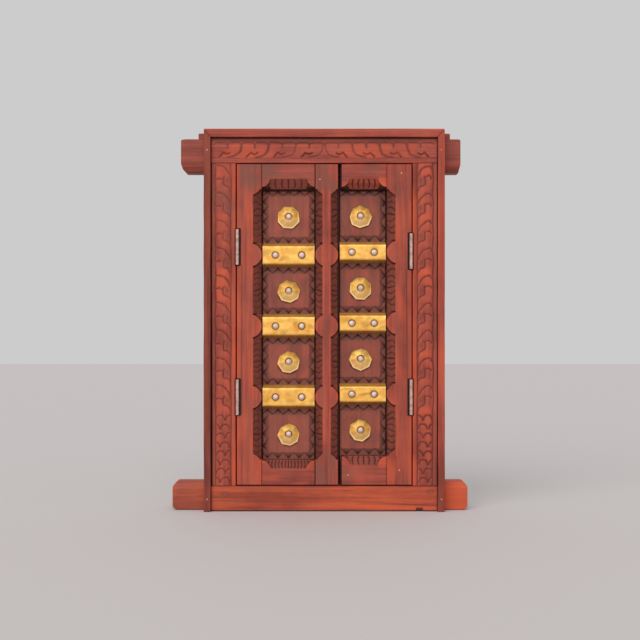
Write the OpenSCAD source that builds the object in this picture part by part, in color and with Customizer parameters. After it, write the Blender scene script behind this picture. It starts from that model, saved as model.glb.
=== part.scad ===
// Carved wooden window: a horned frame with two planked leaves on butt hinges.
// Front faces -Y, +Z is up, and the origin is the centre of the sill's underside.
// Pieces are drawn as seen from the front (x right, y up, z towards the viewer) and then stood up.

/* [Frame] */
// Clear width between the jambs, seen from the front
opening_w = 250; // [230:1:320]
// Clear height from the sill to the lintel, seen from the front
opening_h = 456; // [420:1:600]
// Width of a jamb's face
jamb_w = 35; // [32:0.5:50]
// Height of the lintel's face
lintel_h = 36; // [32:0.5:50]
// Height of the sill's face
sill_h = 36; // [30:0.5:50]
// Depth of the frame from its front face to its back face
frame_depth = 48; // [44:1:80]
// How far the jambs' rear stops reach into the opening
jamb_stop = 10; // [4:0.5:16]
// How far the lintel's rear stop hangs into the opening
lintel_stop = 12; // [4:0.5:16]
// How far the sill's rear stop rises into the opening
sill_stop = 4; // [2:0.5:10]
// Length of the jambs' stub tenons
tenon_l = 16; // [8:0.5:22]
// Thickness of the tenons
tenon_t = 12; // [6:0.5:12]
// Shoulder of a tenon on each side of the jamb
tenon_shoulder = 6; // [3:0.5:10]
// Clearance of a tenon in its mortise
tenon_fit = 0.2; // [0.1:0.05:0.5]

/* [Edging battens] */
// Thickness of the side battens, seen from the front
batten_t = 10; // [6:0.5:16]
// Thickness of the top batten, seen from the front
top_batten_t = 12; // [6:0.5:16]
// Depth of the battens
batten_depth = 20; // [14:0.5:24]
// How far the battens stand proud of the frame's face
batten_proud = 6; // [5:0.5:10]

/* [Horns] */
// Length of the sill's left horn beyond the batten
sill_horn_l = 46; // [20:1:80]
// Length of the sill's right horn beyond the batten
sill_horn_r = 34; // [20:1:80]
// Length of the lintel's left horn beyond the batten
lintel_horn_l = 34; // [20:1:80]
// Length of the lintel's right horn beyond the batten
lintel_horn_r = 24; // [20:1:80]
// Length of the step above the lintel's horns
haunch_l = 9; // [4:0.5:16]
// Height of that step
haunch_h = 8; // [3:0.5:11]
// Height of the bevel along a horn's front arris
horn_bevel_h = 9; // [2:0.5:12]
// Depth of that bevel
horn_bevel_d = 4; // [1:0.5:8]
// Length of the cut corners at the ends of the horns
horn_corner = 5; // [1:0.5:8]

/* [Leaves] */
// Gap round each leaf
leaf_gap = 1.5; // [1:0.1:2.2]
// Gap between the two leaves
meeting_gap = 4; // [3.5:0.1:6]
// How far the meeting stile's centre lies right of the opening's centre
meeting_shift = 3.5; // [-10:0.5:15]
// Thickness of the planted stiles and rails
strip_t = 15; // [14:0.5:18]
// Thickness of the backboards
board_t = 11; // [8:0.5:14]
// Gap between a closed leaf and the stops
stop_gap = 1; // [0.5:0.1:2]
// Width of the hinge stiles
stile_w = 35; // [26:0.5:45]
// Width of the meeting stile
meeting_w = 32; // [28:0.5:40]
// Height of the top rails
top_rail_h = 35; // [28:0.5:50]
// Height of the left bottom rail
bottom_rail_h = 35.2; // [28:0.1:50]
// How much higher the right bottom rail is than the left one
right_rail_more = 5.7; // [0:0.1:8]
// How much higher the right leaf's bars sit than the left leaf's
right_lift = 4.1; // [0:0.1:6]
// Height of the left middle bar as a share of a leaf's height
middle_bar_share = 0.495; // [0.45:0.005:0.55]
// Distance from bar to bar as a share of a leaf's height
bar_pitch_share = 0.222; // [0.2:0.001:0.24]
// Smallest distance between the leaves while one swings past the other
swing_clear = 0.4; // [0.3:0.05:0.8]

/* [Cross bars and brass] */
// Height of the left leaf's cross bars
left_bar_h = 34; // [24:0.5:40]
// Height of the right leaf's cross bars
right_bar_h = 30; // [24:0.5:36]
// Thickness of the cross bars
bar_t = 9; // [6:0.5:9.5]
// Height of a bar's bevelled faces, above and below
bar_bevel = 4.5; // [2:0.5:7]
// Thickness of the brass sheet
brass_t = 0.8; // [0.5:0.1:1.2]
// Gap between a bar's end and the stile beside it
bar_gap = 1; // [0.4:0.1:2]
// Radius of a rosette to its corners
rosette_r = 17; // [11:0.5:18]
// Radius of a rosette's raised seat
rosette_seat_r = 6; // [5.5:0.5:8]
// Height of a rosette
rosette_h = 4; // [2:0.5:6]
// Diameter of a dome nail's head
dome_d = 7.5; // [6:0.5:10]
// Height of a dome nail's head
dome_h = 2.5; // [1.5:0.1:4]
// Diameter of a nail's shank
shank_d = 2.2; // [1.4:0.1:3]
// Wood left under the point of a dome nail
nail_floor = 1.5; // [1:0.1:3]
// Distance of the strap nails from the strap's middle, as a share of the panel's width
strap_nail_share = 0.245; // [0.15:0.005:0.3]
// How far the battens' nails enter the horns
batten_nail_in = 12; // [6:0.5:16]
// How far the brads enter the backboards
brad_in = 6.5; // [4:0.5:7]
// Distance of the right bottom rail's brad from the meeting edge
brad_inset = 10; // [6:0.5:16]
// Clearance of nails and screws in their holes
nail_fit = 0.05; // [0.02:0.01:0.2]

/* [Hinges] */
// Length of a hinge
hinge_l = 50; // [40:1:60]
// Height of the lower hinges' centres above the leaves' lower edges
lower_hinge_z = 124; // [90:1:160]
// Height of the left upper hinge's centre above the leaf's lower edge
left_upper_hinge_z = 336; // [250:1:380]
// Height of the right upper hinge's centre above the leaf's lower edge
right_upper_hinge_z = 330; // [250:1:380]
// Radius of the knuckles
knuckle_r = 2.5; // [2.3:0.1:3.6]
// Radius of the hinge pins
pin_r = 1.3; // [1:0.1:1.6]
// Radial clearance of a pin in its knuckles
pin_fit = 0.05; // [0.02:0.01:0.1]
// Gap between neighbouring knuckles
knuckle_gap = 0.3; // [0.2:0.05:0.6]
// Clearance of the knuckles from the jamb's arris
knuckle_clear = 0.12; // [0.1:0.01:0.3]
// Clearance of the flaps' plates from the other flap's knuckles
plate_clear = 0.4; // [0.3:0.05:0.8]
// Length of the outer knuckles
outer_knuckle_l = 14; // [10:0.5:18]
// Thickness of the flaps
flap_t = 1.4; // [1:0.1:1.6]
// Depth of the flaps behind the pin's axis
flap_w = 13.5; // [11:0.5:14]
// Distance of the pin's axis in front of the leaves' faces
axis_proud = 1.2; // [1:0.1:2]
// Room round a hinge in its housing
housing_gap = 1; // [0.5:0.1:2]
// Spacing of the screws along a flap
screw_pitch = 17; // [12:0.5:18]
// Diameter of the screw heads
screw_head_d = 5; // [4:0.1:6]
// Length of the screws
screw_l = 14; // [8:0.5:20]

/* [Carving] */
// Width of an incised groove
groove_w = 2; // [1:0.1:2.4]
// Depth of an incised groove
groove_d = 1.5; // [0.8:0.1:2.5]
// Distance between the grooves that border a carved band
band_w = 21.6; // [20:0.2:24]
// Length of one scroll of the jambs' bands
scroll_pitch = 38.8; // [36:0.2:48]
// Height of the scaled lower part of the jambs' bands
scales_h = 100; // [60:1:160]
// Length of one leaf of the lintel's band
lintel_pitch = 38.5; // [36:0.5:46]
// Width of the stiles' chamfers, seen from the front
stile_chamfer = 12.5; // [8:0.5:14]
// Width of the meeting stile's chamfers, seen from the front
meeting_chamfer = 10.5; // [6:0.5:11]
// Width of the top rails' chamfers, seen from the front
top_chamfer = 14.5; // [9:0.5:18]
// Width of the bottom rails' chamfers, seen from the front
bottom_chamfer = 13; // [9:0.5:18]
// Radius of the quarter discs at the top rails' ends
top_disc_r = 11.5; // [8:0.5:15]
// Radius of the quarter discs at the bottom rails' ends
bottom_disc_r = 12; // [8:0.5:15]
// Depth of the chamfers at the fields' edges
chamfer_d = 9; // [5:0.5:12]
// Depth of the ledges beside the lobes
ledge_d = 5; // [3:0.5:8]
// Radius of the lobes on the stiles
lobe_r = 16; // [12:0.5:16.5]
// How far the end lobes are centred inside the rails
end_lobe_in = 8; // [5:0.5:12]
// Width of the chip-carved borders of the fields
chip_band = 8.5; // [6:0.5:12]
// Length of one chip of a border
chip_pitch = 15.8; // [12:0.1:24]
// Depth of the chips
chip_d = 2.4; // [1:0.1:4]

/* [Hidden] */
$fn = 64;
over = 0.5;                                             // how far cuts run past a face
wood = "#A5533F";
board_wood = "#85483C";
brass = "#D9A65A";
steel = "#C3A79C";
frame_w = opening_w + 2*jamb_w + 2*batten_t;
frame_l = -frame_w/2 + (sill_horn_l - sill_horn_r)/2;   // left side of the left batten
frame_r = frame_l + frame_w;
left_face = frame_l + batten_t + jamb_w;                // inner face of the left jamb
right_face = left_face + opening_w;
lintel_z = sill_h + opening_h;
lintel_top = lintel_z + lintel_h;
front_y = (batten_proud - frame_depth)/2;
batten_back = batten_depth - batten_proud;              // the horns start here, behind the face
leaf_t = strip_t + board_t;
rebate_d = leaf_t + stop_gap;
tenon_back = batten_back + tenon_t/2;
leaf_z = sill_h + leaf_gap;
leaf_h = opening_h - 2*leaf_gap;
left_leaf_end = opening_w/2 + meeting_shift + meeting_w/2;
right_leaf_end = opening_w - left_leaf_end - meeting_gap;
inner_edge = leaf_gap + stile_w;                        // where a hinge stile meets its fields
left_panel_w = left_leaf_end - meeting_w - inner_edge;
right_panel_w = right_leaf_end - inner_edge;
rows = 4;
rail_low = leaf_z + leaf_h - top_rail_h;                 // underside of the top rails
bar_pitch = bar_pitch_share*leaf_h;
seat = sqrt(knuckle_r*knuckle_r - axis_proud*axis_proud) + knuckle_clear;    // from the axis to a flap's seat
bore_r = pin_r + pin_fit;
plate_in = knuckle_r + plate_clear;                     // where a flap's plate starts, behind the axis
screw_in = (plate_in + flap_w)/2;
shank_r = shank_d/2;
strap_shank = brass_t + bar_t - nail_floor;
rosette_shank = rosette_h + board_t - nail_floor;
brad_l = strip_t + brad_in;
strap_d = strip_t - bar_t - brass_t;                    // depth of the straps' fronts
batten_nail_l = batten_depth + batten_nail_in;

function panel_w(side) = side == "left" ? left_panel_w : right_panel_w;
function bar_h(side) = side == "left" ? left_bar_h : right_bar_h;
// Height of a hinge's centre, 1 lower and 2 upper
function hinge_z(side, i) = leaf_z + (i == 1 ? lower_hinge_z
    : side == "left" ? left_upper_hinge_z : right_upper_hinge_z);
function lift(side) = side == "left" ? 0 : right_lift;
// Top of a bottom rail
function rail_top(side) = leaf_z + bottom_rail_h + (side == "left" ? 0 : right_rail_more);
// Height of a bar's middle: bars and fields are counted from the bottom
function bar_z(side, i) = leaf_z + middle_bar_share*leaf_h + lift(side) + (i - rows/2)*bar_pitch;
// Heights of a field's ends, between bars of a given height
function field_low(side, i, h) = i == 1 ? rail_top(side) : bar_z(side, i - 1) + h/2;
function field_high(side, i, h) = i == rows ? rail_low : bar_z(side, i) - h/2;
function field_h(side, i) = field_high(side, i, bar_h(side)) - field_low(side, i, bar_h(side));
function field_z(side, i) = field_low(side, i, bar_h(side)) + field_h(side, i)/2;
// How far from its jamb's face a leaf may reach at a depth, so that it swings clear of the other leaf:
// the right one passes the meeting stile's arris, the left one the edge of the right board's face
function right_swing(depth) = seat
    + sqrt(pow(right_leaf_end + meeting_gap - swing_clear - seat, 2) - pow(depth + axis_proud, 2));
function left_swing(depth) = seat
    + sqrt(pow(opening_w - right_swing(strip_t) - swing_clear - seat, 2)
        + pow(strip_t + axis_proud, 2) - pow(depth + axis_proud, 2));
function board_end(side, depth) = side == "left" ? left_swing(depth) : right_swing(depth);
// Where the bars end at a depth: the left ones short of the meeting stile, the right ones in the
// meeting gap, clear of the left board's path
function bar_end(side, depth) = side == "left" ? inner_edge + left_panel_w - bar_gap
    : opening_w - left_swing(depth) - swing_clear;
function strap_u(side) = (inner_edge + bar_gap + bar_end(side, strap_d))/2;
// Middle of a field's flat part: the right leaf has no chips along its meeting edge
function rosette_u(side) = inner_edge + (panel_w(side) + (side == "left" ? 0 : chip_band))/2;
// Places of the brads that show, from the jamb's face and up
function brads(side) = side == "left"
    ? [[left_leaf_end - 0.8*meeting_w, leaf_z + leaf_h - 0.61*top_rail_h]]
    : [[leaf_gap + 0.41*stile_w, leaf_z + leaf_h - 0.36*top_rail_h],
       [leaf_gap + 0.5*stile_w, leaf_z + 0.59*bottom_rail_h],
       [right_leaf_end - brad_inset, leaf_z + 0.4*bottom_rail_h]];

// Stands a front-view drawing up, with its z = 0 in the frame's front plane
module stand() translate([0, front_y, 0]) rotate([90, 0, 0]) children();

// The same for one side of the window: x is measured inwards from that side's jamb face
module on_side(side) stand()
    if (side == "left") translate([left_face, 0, 0]) children();
    else translate([right_face, 0, 0]) mirror([1, 0, 0]) children();

// Box between two x, two y and two z
module block(x0, x1, y0, y1, z0, z1) translate([x0, y0, z0]) cube([x1 - x0, y1 - y0, z1 - z0]);

// Extrudes a plan, drawn as x and depth behind the face, upwards from a height
module plan(y0, h) translate([0, y0, 0]) rotate([-90, 0, 0]) linear_extrude(h) children();

// Extrudes an end view, drawn as depth behind the face and height, along x
module profile(x0, l) translate([x0, 0, 0]) rotate([0, 90, 0]) linear_extrude(l) children();

// Incised V groove along an arc about the origin, on the plane z = 0
module v_arc(r, a0, a1) {
    half = groove_w/2*(groove_d + over)/groove_d;
    rotate([0, 0, a0]) rotate_extrude(angle = a1 - a0)
        translate([r, 0]) polygon([[-half, over], [half, over], [0, -groove_d]]);
}

// Incised V groove along x, from the origin, on the plane z = 0
module v_line(l) {
    half = groove_w/2*(groove_d + over)/groove_d;
    profile(0, l) polygon([[-over, -half], [-over, half], [groove_d, 0]]);
}

// Frame

// Tenons of a jamb's two ends, or their mortises with the fit added
module tenon(fit) for (z = [sill_h - tenon_l - fit, lintel_z - over])
    block(-jamb_w + tenon_shoulder - fit, -tenon_shoulder + fit, z, z + tenon_l + over + fit,
        -tenon_back - fit, -tenon_back + tenon_t + fit);

// Cuts the corners off the ends of a horned rail
module end_corners(x0, x1, y0, y1, lower, upper) translate([0, 0, -frame_depth - over])
    linear_extrude(frame_depth + 2*over) {
        for (end = [[x0, 1], [x1, -1]]) {
            polygon([[end[0] - end[1]*over, y0 - over], [end[0] + end[1]*horn_corner, y0 - over],
                [end[0] - end[1]*over, y0 + lower]]);
            polygon([[end[0] - end[1]*over, y1 + over], [end[0] + end[1]*horn_corner, y1 + over],
                [end[0] - end[1]*over, y1 - upper]]);
        }
    }

// Holes of the nails that hold the side battens to the horns behind them
module batten_nail_holes(r, l) for (x = [frame_l + batten_t/2, frame_r - batten_t/2],
    y = [sill_h/2, lintel_z + lintel_h/2])
    translate([x, y, batten_proud - l]) cylinder(r = r, h = l + (r > shank_r ? over : 0));

// One leaf of the lintel's band, from its inner end outwards, below the band's upper groove
module lintel_leaf() {
    sweep_r = 0.72*band_w;
    curl_r = lintel_pitch/4 - groove_w/2;
    translate([sweep_r + groove_w, -groove_w, 0]) v_arc(sweep_r, 182, 240);
    for (k = [1, 3]) translate([k*lintel_pitch/4 + groove_w, -curl_r - 1.3*groove_w, 0])
        v_arc(curl_r, 50, 130);
    translate([lintel_pitch/2 + groove_w, -1.3*groove_w, 0]) rotate([0, 0, -90]) v_line(0.25*band_w);
    translate([0.72*lintel_pitch, -0.68*band_w, 0]) rotate([0, 0, -60]) v_line(0.2*band_w);
    translate([0.78*lintel_pitch, -0.62*band_w, 0]) rotate([0, 0, -10]) v_line(0.2*band_w);
}

module lintel_carving() {
    face_w = opening_w + 2*jamb_w;
    centre = (left_face + right_face)/2;
    low = lintel_z + (lintel_h - band_w)/2;
    for (y = [low, low + band_w])
        translate([centre - face_w/2 + groove_w, y, 0]) v_line(face_w - 2*groove_w);
    for (way = [0, 1], i = [0 : floor((face_w/2 - 2*groove_w)/lintel_pitch) - 1])
        translate([centre, low + band_w, 0]) mirror([way, 0, 0]) translate([i*lintel_pitch, 0, 0])
            lintel_leaf();
}

// Carved head of the frame: its horns run out behind the battens, and its rear edge stops the leaves
module lintel() color(wood) stand() {
    x0 = frame_l - lintel_horn_l;
    x1 = frame_r + lintel_horn_r;
    y0 = lintel_z - lintel_stop;
    difference() {
        union() {
            block(frame_l + batten_t, frame_r - batten_t, lintel_z, lintel_top, -batten_back, 0);
            block(x0, x1, lintel_z, lintel_top, -frame_depth, -batten_back);
            block(x0, x1, y0, lintel_z, -frame_depth, -rebate_d);
            block(x0, frame_l + batten_t, y0, lintel_z, -rebate_d, -batten_back);
            block(frame_r - batten_t, x1, y0, lintel_z, -rebate_d, -batten_back);
            block(frame_l - haunch_l, frame_r + haunch_l, lintel_top, lintel_top + haunch_h,
                -frame_depth, -batten_back);
        }
        for (side = [[x0 - over, lintel_horn_l + over], [frame_r, lintel_horn_r + over]])
            profile(side[0], side[1]) polygon([[batten_back - over, y0 - over],
                [batten_back - over, y0 + horn_bevel_h], [batten_back, y0 + horn_bevel_h],
                [batten_back + horn_bevel_d, y0], [batten_back + horn_bevel_d, y0 - over]]);
        end_corners(x0, x1, y0, lintel_top, lintel_stop + horn_corner, horn_corner/2);
        batten_nail_holes(shank_r + nail_fit, batten_nail_l);
        translate([left_face, 0, 0]) tenon(tenon_fit);
        translate([right_face, 0, 0]) mirror([1, 0, 0]) tenon(tenon_fit);
        lintel_carving();
    }
}

// Foot of the frame, with its own horns and a low rear stop
module sill() color(wood) stand() {
    x0 = frame_l - sill_horn_l;
    x1 = frame_r + sill_horn_r;
    y1 = sill_h + sill_stop;
    difference() {
        union() {
            block(frame_l + batten_t, frame_r - batten_t, 0, sill_h, -batten_back, 0);
            block(x0, x1, 0, sill_h, -frame_depth, -batten_back);
            block(x0, x1, sill_h, y1, -frame_depth, -rebate_d);
            block(x0, frame_l + batten_t, sill_h, y1, -rebate_d, -batten_back);
            block(frame_r - batten_t, x1, sill_h, y1, -rebate_d, -batten_back);
        }
        for (side = [[x0 - over, sill_horn_l + over], [frame_r, sill_horn_r + over]])
            profile(side[0], side[1]) polygon([[batten_back - over, y1 + over],
                [batten_back - over, y1 - horn_bevel_h], [batten_back, y1 - horn_bevel_h],
                [batten_back + horn_bevel_d, y1], [batten_back + horn_bevel_d, y1 + over]]);
        end_corners(x0, x1, 0, y1, horn_corner, 1.4*horn_corner);
        batten_nail_holes(shank_r + nail_fit, batten_nail_l);
        translate([left_face, 0, 0]) tenon(tenon_fit);
        translate([right_face, 0, 0]) mirror([1, 0, 0]) tenon(tenon_fit);
    }
}

// One scroll of a jamb's band: an arch, a hook under it and a short dash, hanging below the origin,
// which lies on the band's outer groove
module scroll() {
    arch_r = band_w - 3.4*groove_w;
    hook_r = 0.36*band_w;
    translate([1.6*groove_w, -arch_r, 0]) v_arc(arch_r, 2, 88);
    translate([0.5*band_w, -0.62*scroll_pitch, 0]) rotate([0, 0, 90]) v_line(0.26*scroll_pitch);
    translate([band_w - hook_r - 1.6*groove_w, -0.68*scroll_pitch - hook_r, 0]) v_arc(hook_r, 4, 100);
    translate([1.2*groove_w, -0.58*scroll_pitch, 0]) rotate([0, 0, -12]) v_line(0.24*band_w);
}

module jamb_carving() {
    outer = -(jamb_w + band_w)/2;
    low = sill_h + groove_w;
    run = opening_h - 2*groove_w;
    for (x = [outer, outer + band_w]) translate([x, low, 0]) rotate([0, 0, 90]) v_line(run);
    scrolls = floor((run - scales_h)/scroll_pitch);
    for (i = [0 : scrolls - 1])
        translate([outer, lintel_z - 2*groove_w - i*scroll_pitch, 0]) scroll();
    scale_r = band_w/4 - 0.6*groove_w;
    scale_rows = floor((run - scrolls*scroll_pitch)/(3.6*scale_r));
    scale_pitch = (run - scrolls*scroll_pitch - scale_r)/scale_rows;
    for (column = [0, 1], i = [0 : scale_rows - 1])
        translate([outer + (1 + 2*column)*band_w/4, low + scale_r/2 + (i + column/2)*scale_pitch, 0])
            v_arc(scale_r, 5, 175);
}

// Side of the frame: a carved face, a rebate for the leaf and a stub tenon at each end
module jamb(side) color(wood) on_side(side) difference() {
    union() {
        block(-jamb_w, 0, sill_h, lintel_z, -rebate_d, 0);
        block(-jamb_w, jamb_stop, sill_h + sill_stop, lintel_z - lintel_stop, -frame_depth, -rebate_d);
        tenon(0);
    }
    jamb_carving();
    for (i = [1, 2]) screw_holes(side, i, -1);
}

// Edging strip on one side, mitred at the top and nailed to the horns
module batten(side) color(wood) stand() difference() {
    top = lintel_top + top_batten_t;
    x0 = side == "left" ? frame_l : frame_r;
    x1 = side == "left" ? frame_l + batten_t : frame_r - batten_t;
    translate([0, 0, -batten_back]) linear_extrude(batten_depth)
        polygon([[x0, 0], [x1, 0], [x1, lintel_top], [x0, top]]);
    batten_nail_holes(shank_r + nail_fit, batten_nail_l);
}

// Edging strip along the lintel, between the mitres
module top_batten() color(wood) stand() {
    top = lintel_top + top_batten_t;
    translate([0, 0, -batten_back]) linear_extrude(batten_depth)
        polygon([[frame_l + batten_t, lintel_top], [frame_r - batten_t, lintel_top],
            [frame_r, top], [frame_l, top]]);
}

module batten_nails() color(steel) stand() batten_nail_holes(shank_r, batten_nail_l);

// Hinges

// Countersunk screw along +x from its head's face
module screw(fit) {
    r = screw_head_d/4;
    rotate([0, 90, 0]) {
        cylinder(r = r + fit, h = screw_l + fit);
        cylinder(r1 = screw_head_d/2 + fit, r2 = r + fit, h = 0.75*flap_t);
    }
}

// Places a screw or its hole at each screw of one flap: way 1 into the leaf, -1 into the jamb
module screw_places(side, i, way) for (k = [-1, 0, 1])
    translate([seat + way*(seat - flap_t), hinge_z(side, i) + k*screw_pitch, axis_proud - screw_in])
        mirror([way < 0 ? 1 : 0, 0, 0]) children();

module screw_holes(side, i, way) screw_places(side, i, way) screw(nail_fit);

module hinge_screws(side, way) color(steel) on_side(side) for (i = [1, 2])
    screw_places(side, i, way) screw(0);

module frame_hinge_screws() {
    hinge_screws("left", -1);
    hinge_screws("right", -1);
}

// One flap of a hinge with its knuckles: way 1 on the leaf, -1 on the jamb
module flap(side, i, way) color(steel) on_side(side) {
    low = hinge_z(side, i) - hinge_l/2;
    middle_l = hinge_l - 2*outer_knuckle_l - 2*knuckle_gap;
    knuckles = way > 0 ? [[low + outer_knuckle_l + knuckle_gap, middle_l]]
        : [[low, outer_knuckle_l], [low + hinge_l - outer_knuckle_l, outer_knuckle_l]];
    x = way > 0 ? 2*seat - flap_t : 0;
    difference() {
        union() {
            plan(low, hinge_l) translate([x, plate_in - axis_proud]) square([flap_t, flap_w - plate_in]);
            for (k = knuckles) plan(k[0], k[1]) {
                translate([x, -axis_proud]) square([flap_t, plate_in + over]);
                translate([seat, -axis_proud]) circle(knuckle_r);
            }
        }
        plan(low - over, hinge_l + 2*over) translate([seat, -axis_proud]) circle(bore_r);
        screw_holes(side, i, way);
    }
}

module pin(side, i) color(steel) on_side(side)
    plan(hinge_z(side, i) - hinge_l/2, hinge_l) translate([seat, -axis_proud]) circle(pin_r);

// Leaves

// Places children on the front of each strap, where its nails go
module at_nails(side) for (i = [1 : rows - 1], k = [-1, 1])
    translate([strap_u(side) + k*strap_nail_share*panel_w(side), bar_z(side, i), -strap_d]) children();

// Places children on the board, at the middle of each field
module at_fields(side, x) for (i = [1 : rows]) translate([x, field_z(side, i), -strip_t]) children();

module brad_holes(side, r) for (b = brads(side))
    translate([b[0], b[1], -brad_l]) cylinder(r = r, h = brad_l + (r > shank_r ? over : 0));

// Chip of a field's border: a triangle that slopes from its base down to its point, which lies on +y
module chip(base) polyhedron(
    points = [[-base/2, 0, 0], [base/2, 0, 0], [0, chip_band, -chip_d],
        [-base/2, 0, over], [base/2, 0, over], [0, chip_band, over]],
    faces = [[0, 1, 2], [5, 4, 3], [1, 0, 3, 4], [2, 1, 4, 5], [0, 2, 5, 3]]);

// Rows of chips round a field of the given size, about its middle: the level ones run over its whole
// width and the upright ones between them; an open field has none on +x
module chip_border(w, h, open) {
    for (turn = [0 : open ? 2 : 3]) {
        level = turn % 2 == 0;
        run = level ? w : h - 2*chip_band - 4*over;
        count = max(2, round(run/chip_pitch));
        for (k = [0 : count - 1])
            rotate([0, 0, 90*turn])
                translate([(k + 0.5)*run/count - run/2, (level ? h : w)/2 - chip_band - over, 0])
                    chip(0.94*run/count);
    }
}

// Board of a leaf: the fields' borders are chip carved, and the meeting edge is bevelled
module backboard(side) color(board_wood) on_side(side) difference() {
    plan(leaf_z, leaf_h) polygon([[leaf_gap, strip_t], [board_end(side, strip_t), strip_t],
        [board_end(side, leaf_t), leaf_t], [leaf_gap, leaf_t]]);
    for (i = [1 : rows])
        translate([inner_edge + panel_w(side)/2, field_z(side, i), -strip_t])
            chip_border(panel_w(side), field_h(side, i), side == "right");
    at_fields(side, rosette_u(side)) translate([0, 0, rosette_h - rosette_shank])
        cylinder(r = shank_r + nail_fit, h = rosette_shank);
    brad_holes(side, shank_r + nail_fit);
}

// Cut of a carved chamfer along x, about the origin on the face's arris line, sloping towards +y,
// with a straight V cut in its middle and bowed ones on both sides
module carved_chamfer(l, w) {
    slope = sqrt(w*w + chamfer_d*chamfer_d);
    tilt = atan(chamfer_d/w);
    bow = 0.9*slope;
    spread = asin(0.36*slope/bow);
    pitch = l/8;
    profile(-l/2, l) polygon([[-over, -over*w/chamfer_d], [-over, w + over],
        [chamfer_d*(w + over)/w, w + over]]);
    rotate([-tilt, 0, 0]) {
        translate([0, 0.14*slope, 0]) rotate([0, 0, 90]) v_line(0.72*slope);
        for (way = [0, 180], k = [1 : 3])
            rotate([0, 0, way]) translate([k*pitch - bow, way == 0 ? slope/2 : -slope/2, 0])
                v_arc(bow, -spread, spread);
    }
}

// Lobes that the chamfers of a stile stop against, as seen from the front, about an x
module lobes(side, x) {
    for (y = [rail_top(side) - end_lobe_in, bar_z(side, 1), bar_z(side, 2), bar_z(side, 3),
        rail_low + end_lobe_in])
        translate([x, y, -strip_t]) cylinder(r = lobe_r, h = strip_t + 2*over);
}

// Carves one long edge of a stile: way 1 cuts the edge on +x, -1 the one on -x
module carved_edge(side, edge, w, way) {
    for (i = [1 : rows]) {
        low = field_low(side, i, left_bar_h);
        high = field_high(side, i, left_bar_h);
        translate([edge - way*w, (low + high)/2, 0]) rotate([0, 0, -90*way]) carved_chamfer(high - low, w);
    }
    for (i = [1 : rows - 1])
        block(min(edge - way*w, edge + way*over), max(edge - way*w, edge + way*over),
            bar_z(side, i) - left_bar_h/2 - 0.1, bar_z(side, i) + left_bar_h/2 + 0.1, -ledge_d, over);
}

// Planted strip on the hinge side, housed for the hinges
module hinge_stile(side) color(wood) on_side(side) difference() {
    block(leaf_gap, inner_edge, leaf_z, leaf_z + leaf_h, -strip_t, 0);
    difference() {
        carved_edge(side, inner_edge, stile_chamfer, 1);
        lobes(side, inner_edge - lobe_r);
    }
    for (i = [1, 2]) {
        low = hinge_z(side, i) - hinge_l/2 - housing_gap;
        block(leaf_gap - over, 2*seat, low, low + hinge_l + 2*housing_gap,
            axis_proud - flap_w - housing_gap, over);
        block(leaf_gap - over, 2*seat + housing_gap, low, low + hinge_l + 2*housing_gap,
            axis_proud - plate_in, over);
        screw_holes(side, i, 1);
    }
    brad_holes(side, shank_r + nail_fit);
}

// Planted strip that closes the left leaf, carved on both edges
module left_meeting_stile() color(wood) on_side("left") difference() {
    start = left_leaf_end - meeting_w;
    block(start, left_leaf_end, leaf_z, leaf_z + leaf_h, -strip_t, 0);
    difference() {
        union() {
            carved_edge("left", start, meeting_chamfer, -1);
            carved_edge("left", left_leaf_end, meeting_chamfer, 1);
        }
        lobes("left", start + meeting_w/2);
    }
    brad_holes("left", shank_r + nail_fit);
}

// Planted rail between the stiles, with a chamfer towards the fields that stops at quarter discs
module rail(side, z, h, w, disc_r, way) color(wood) on_side(side) difference() {
    l = panel_w(side);
    block(inner_edge, inner_edge + l, z, z + h, -strip_t, 0);
    arris = way > 0 ? z + h - w : z + w;
    difference() {
        translate([inner_edge + l/2, arris, 0]) rotate([0, 0, way > 0 ? 0 : 180])
            carved_chamfer(l + 2*over, w);
        for (x = [inner_edge, inner_edge + l])
            translate([x, arris, -strip_t]) cylinder(r = disc_r, h = strip_t + 2*over);
    }
    brad_holes(side, shank_r + nail_fit);
}

module top_rail(side) rail(side, rail_low, top_rail_h, top_chamfer, top_disc_r, -1);

module bottom_rail(side) rail(side, leaf_z, rail_top(side) - leaf_z, bottom_chamfer, bottom_disc_r, 1);

// End view of a bar as depth and height about its middle, grown by a sheet's thickness
module bar_section(side, grow) {
    low = bar_h(side)/2 - brass_t + grow;
    high = low - bar_bevel;
    polygon([[strip_t, -low], [strip_t, low], [strip_t - bar_t - grow, high],
        [strip_t - bar_t - grow, -high]]);
}

// What a bar's section is cut to: its length, with the end cut back so that it swings clear
module bar_length(side) plan(leaf_z, leaf_h) polygon([[inner_edge + bar_gap, strap_d],
    [bar_end(side, strap_d), strap_d], [bar_end(side, strip_t), strip_t], [inner_edge + bar_gap, strip_t]]);

// Cross bar of a leaf, bevelled above and below
module bar(side, i) color(wood) on_side(side) difference() {
    intersection() {
        translate([0, bar_z(side, i), 0]) profile(inner_edge, opening_w) bar_section(side, 0);
        bar_length(side);
    }
    at_nails(side) translate([0, 0, -strap_shank]) cylinder(r = shank_r + nail_fit, h = strap_shank + over);
}

// Brass sheet folded over a bar
module strap(side, i) color(brass) on_side(side) difference() {
    intersection() {
        translate([0, bar_z(side, i), 0]) profile(inner_edge, opening_w) difference() {
            bar_section(side, brass_t);
            bar_section(side, 0);
        }
        bar_length(side);
    }
    at_nails(side) translate([0, 0, -strap_shank]) cylinder(r = shank_r + nail_fit, h = strap_shank + over);
}

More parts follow.
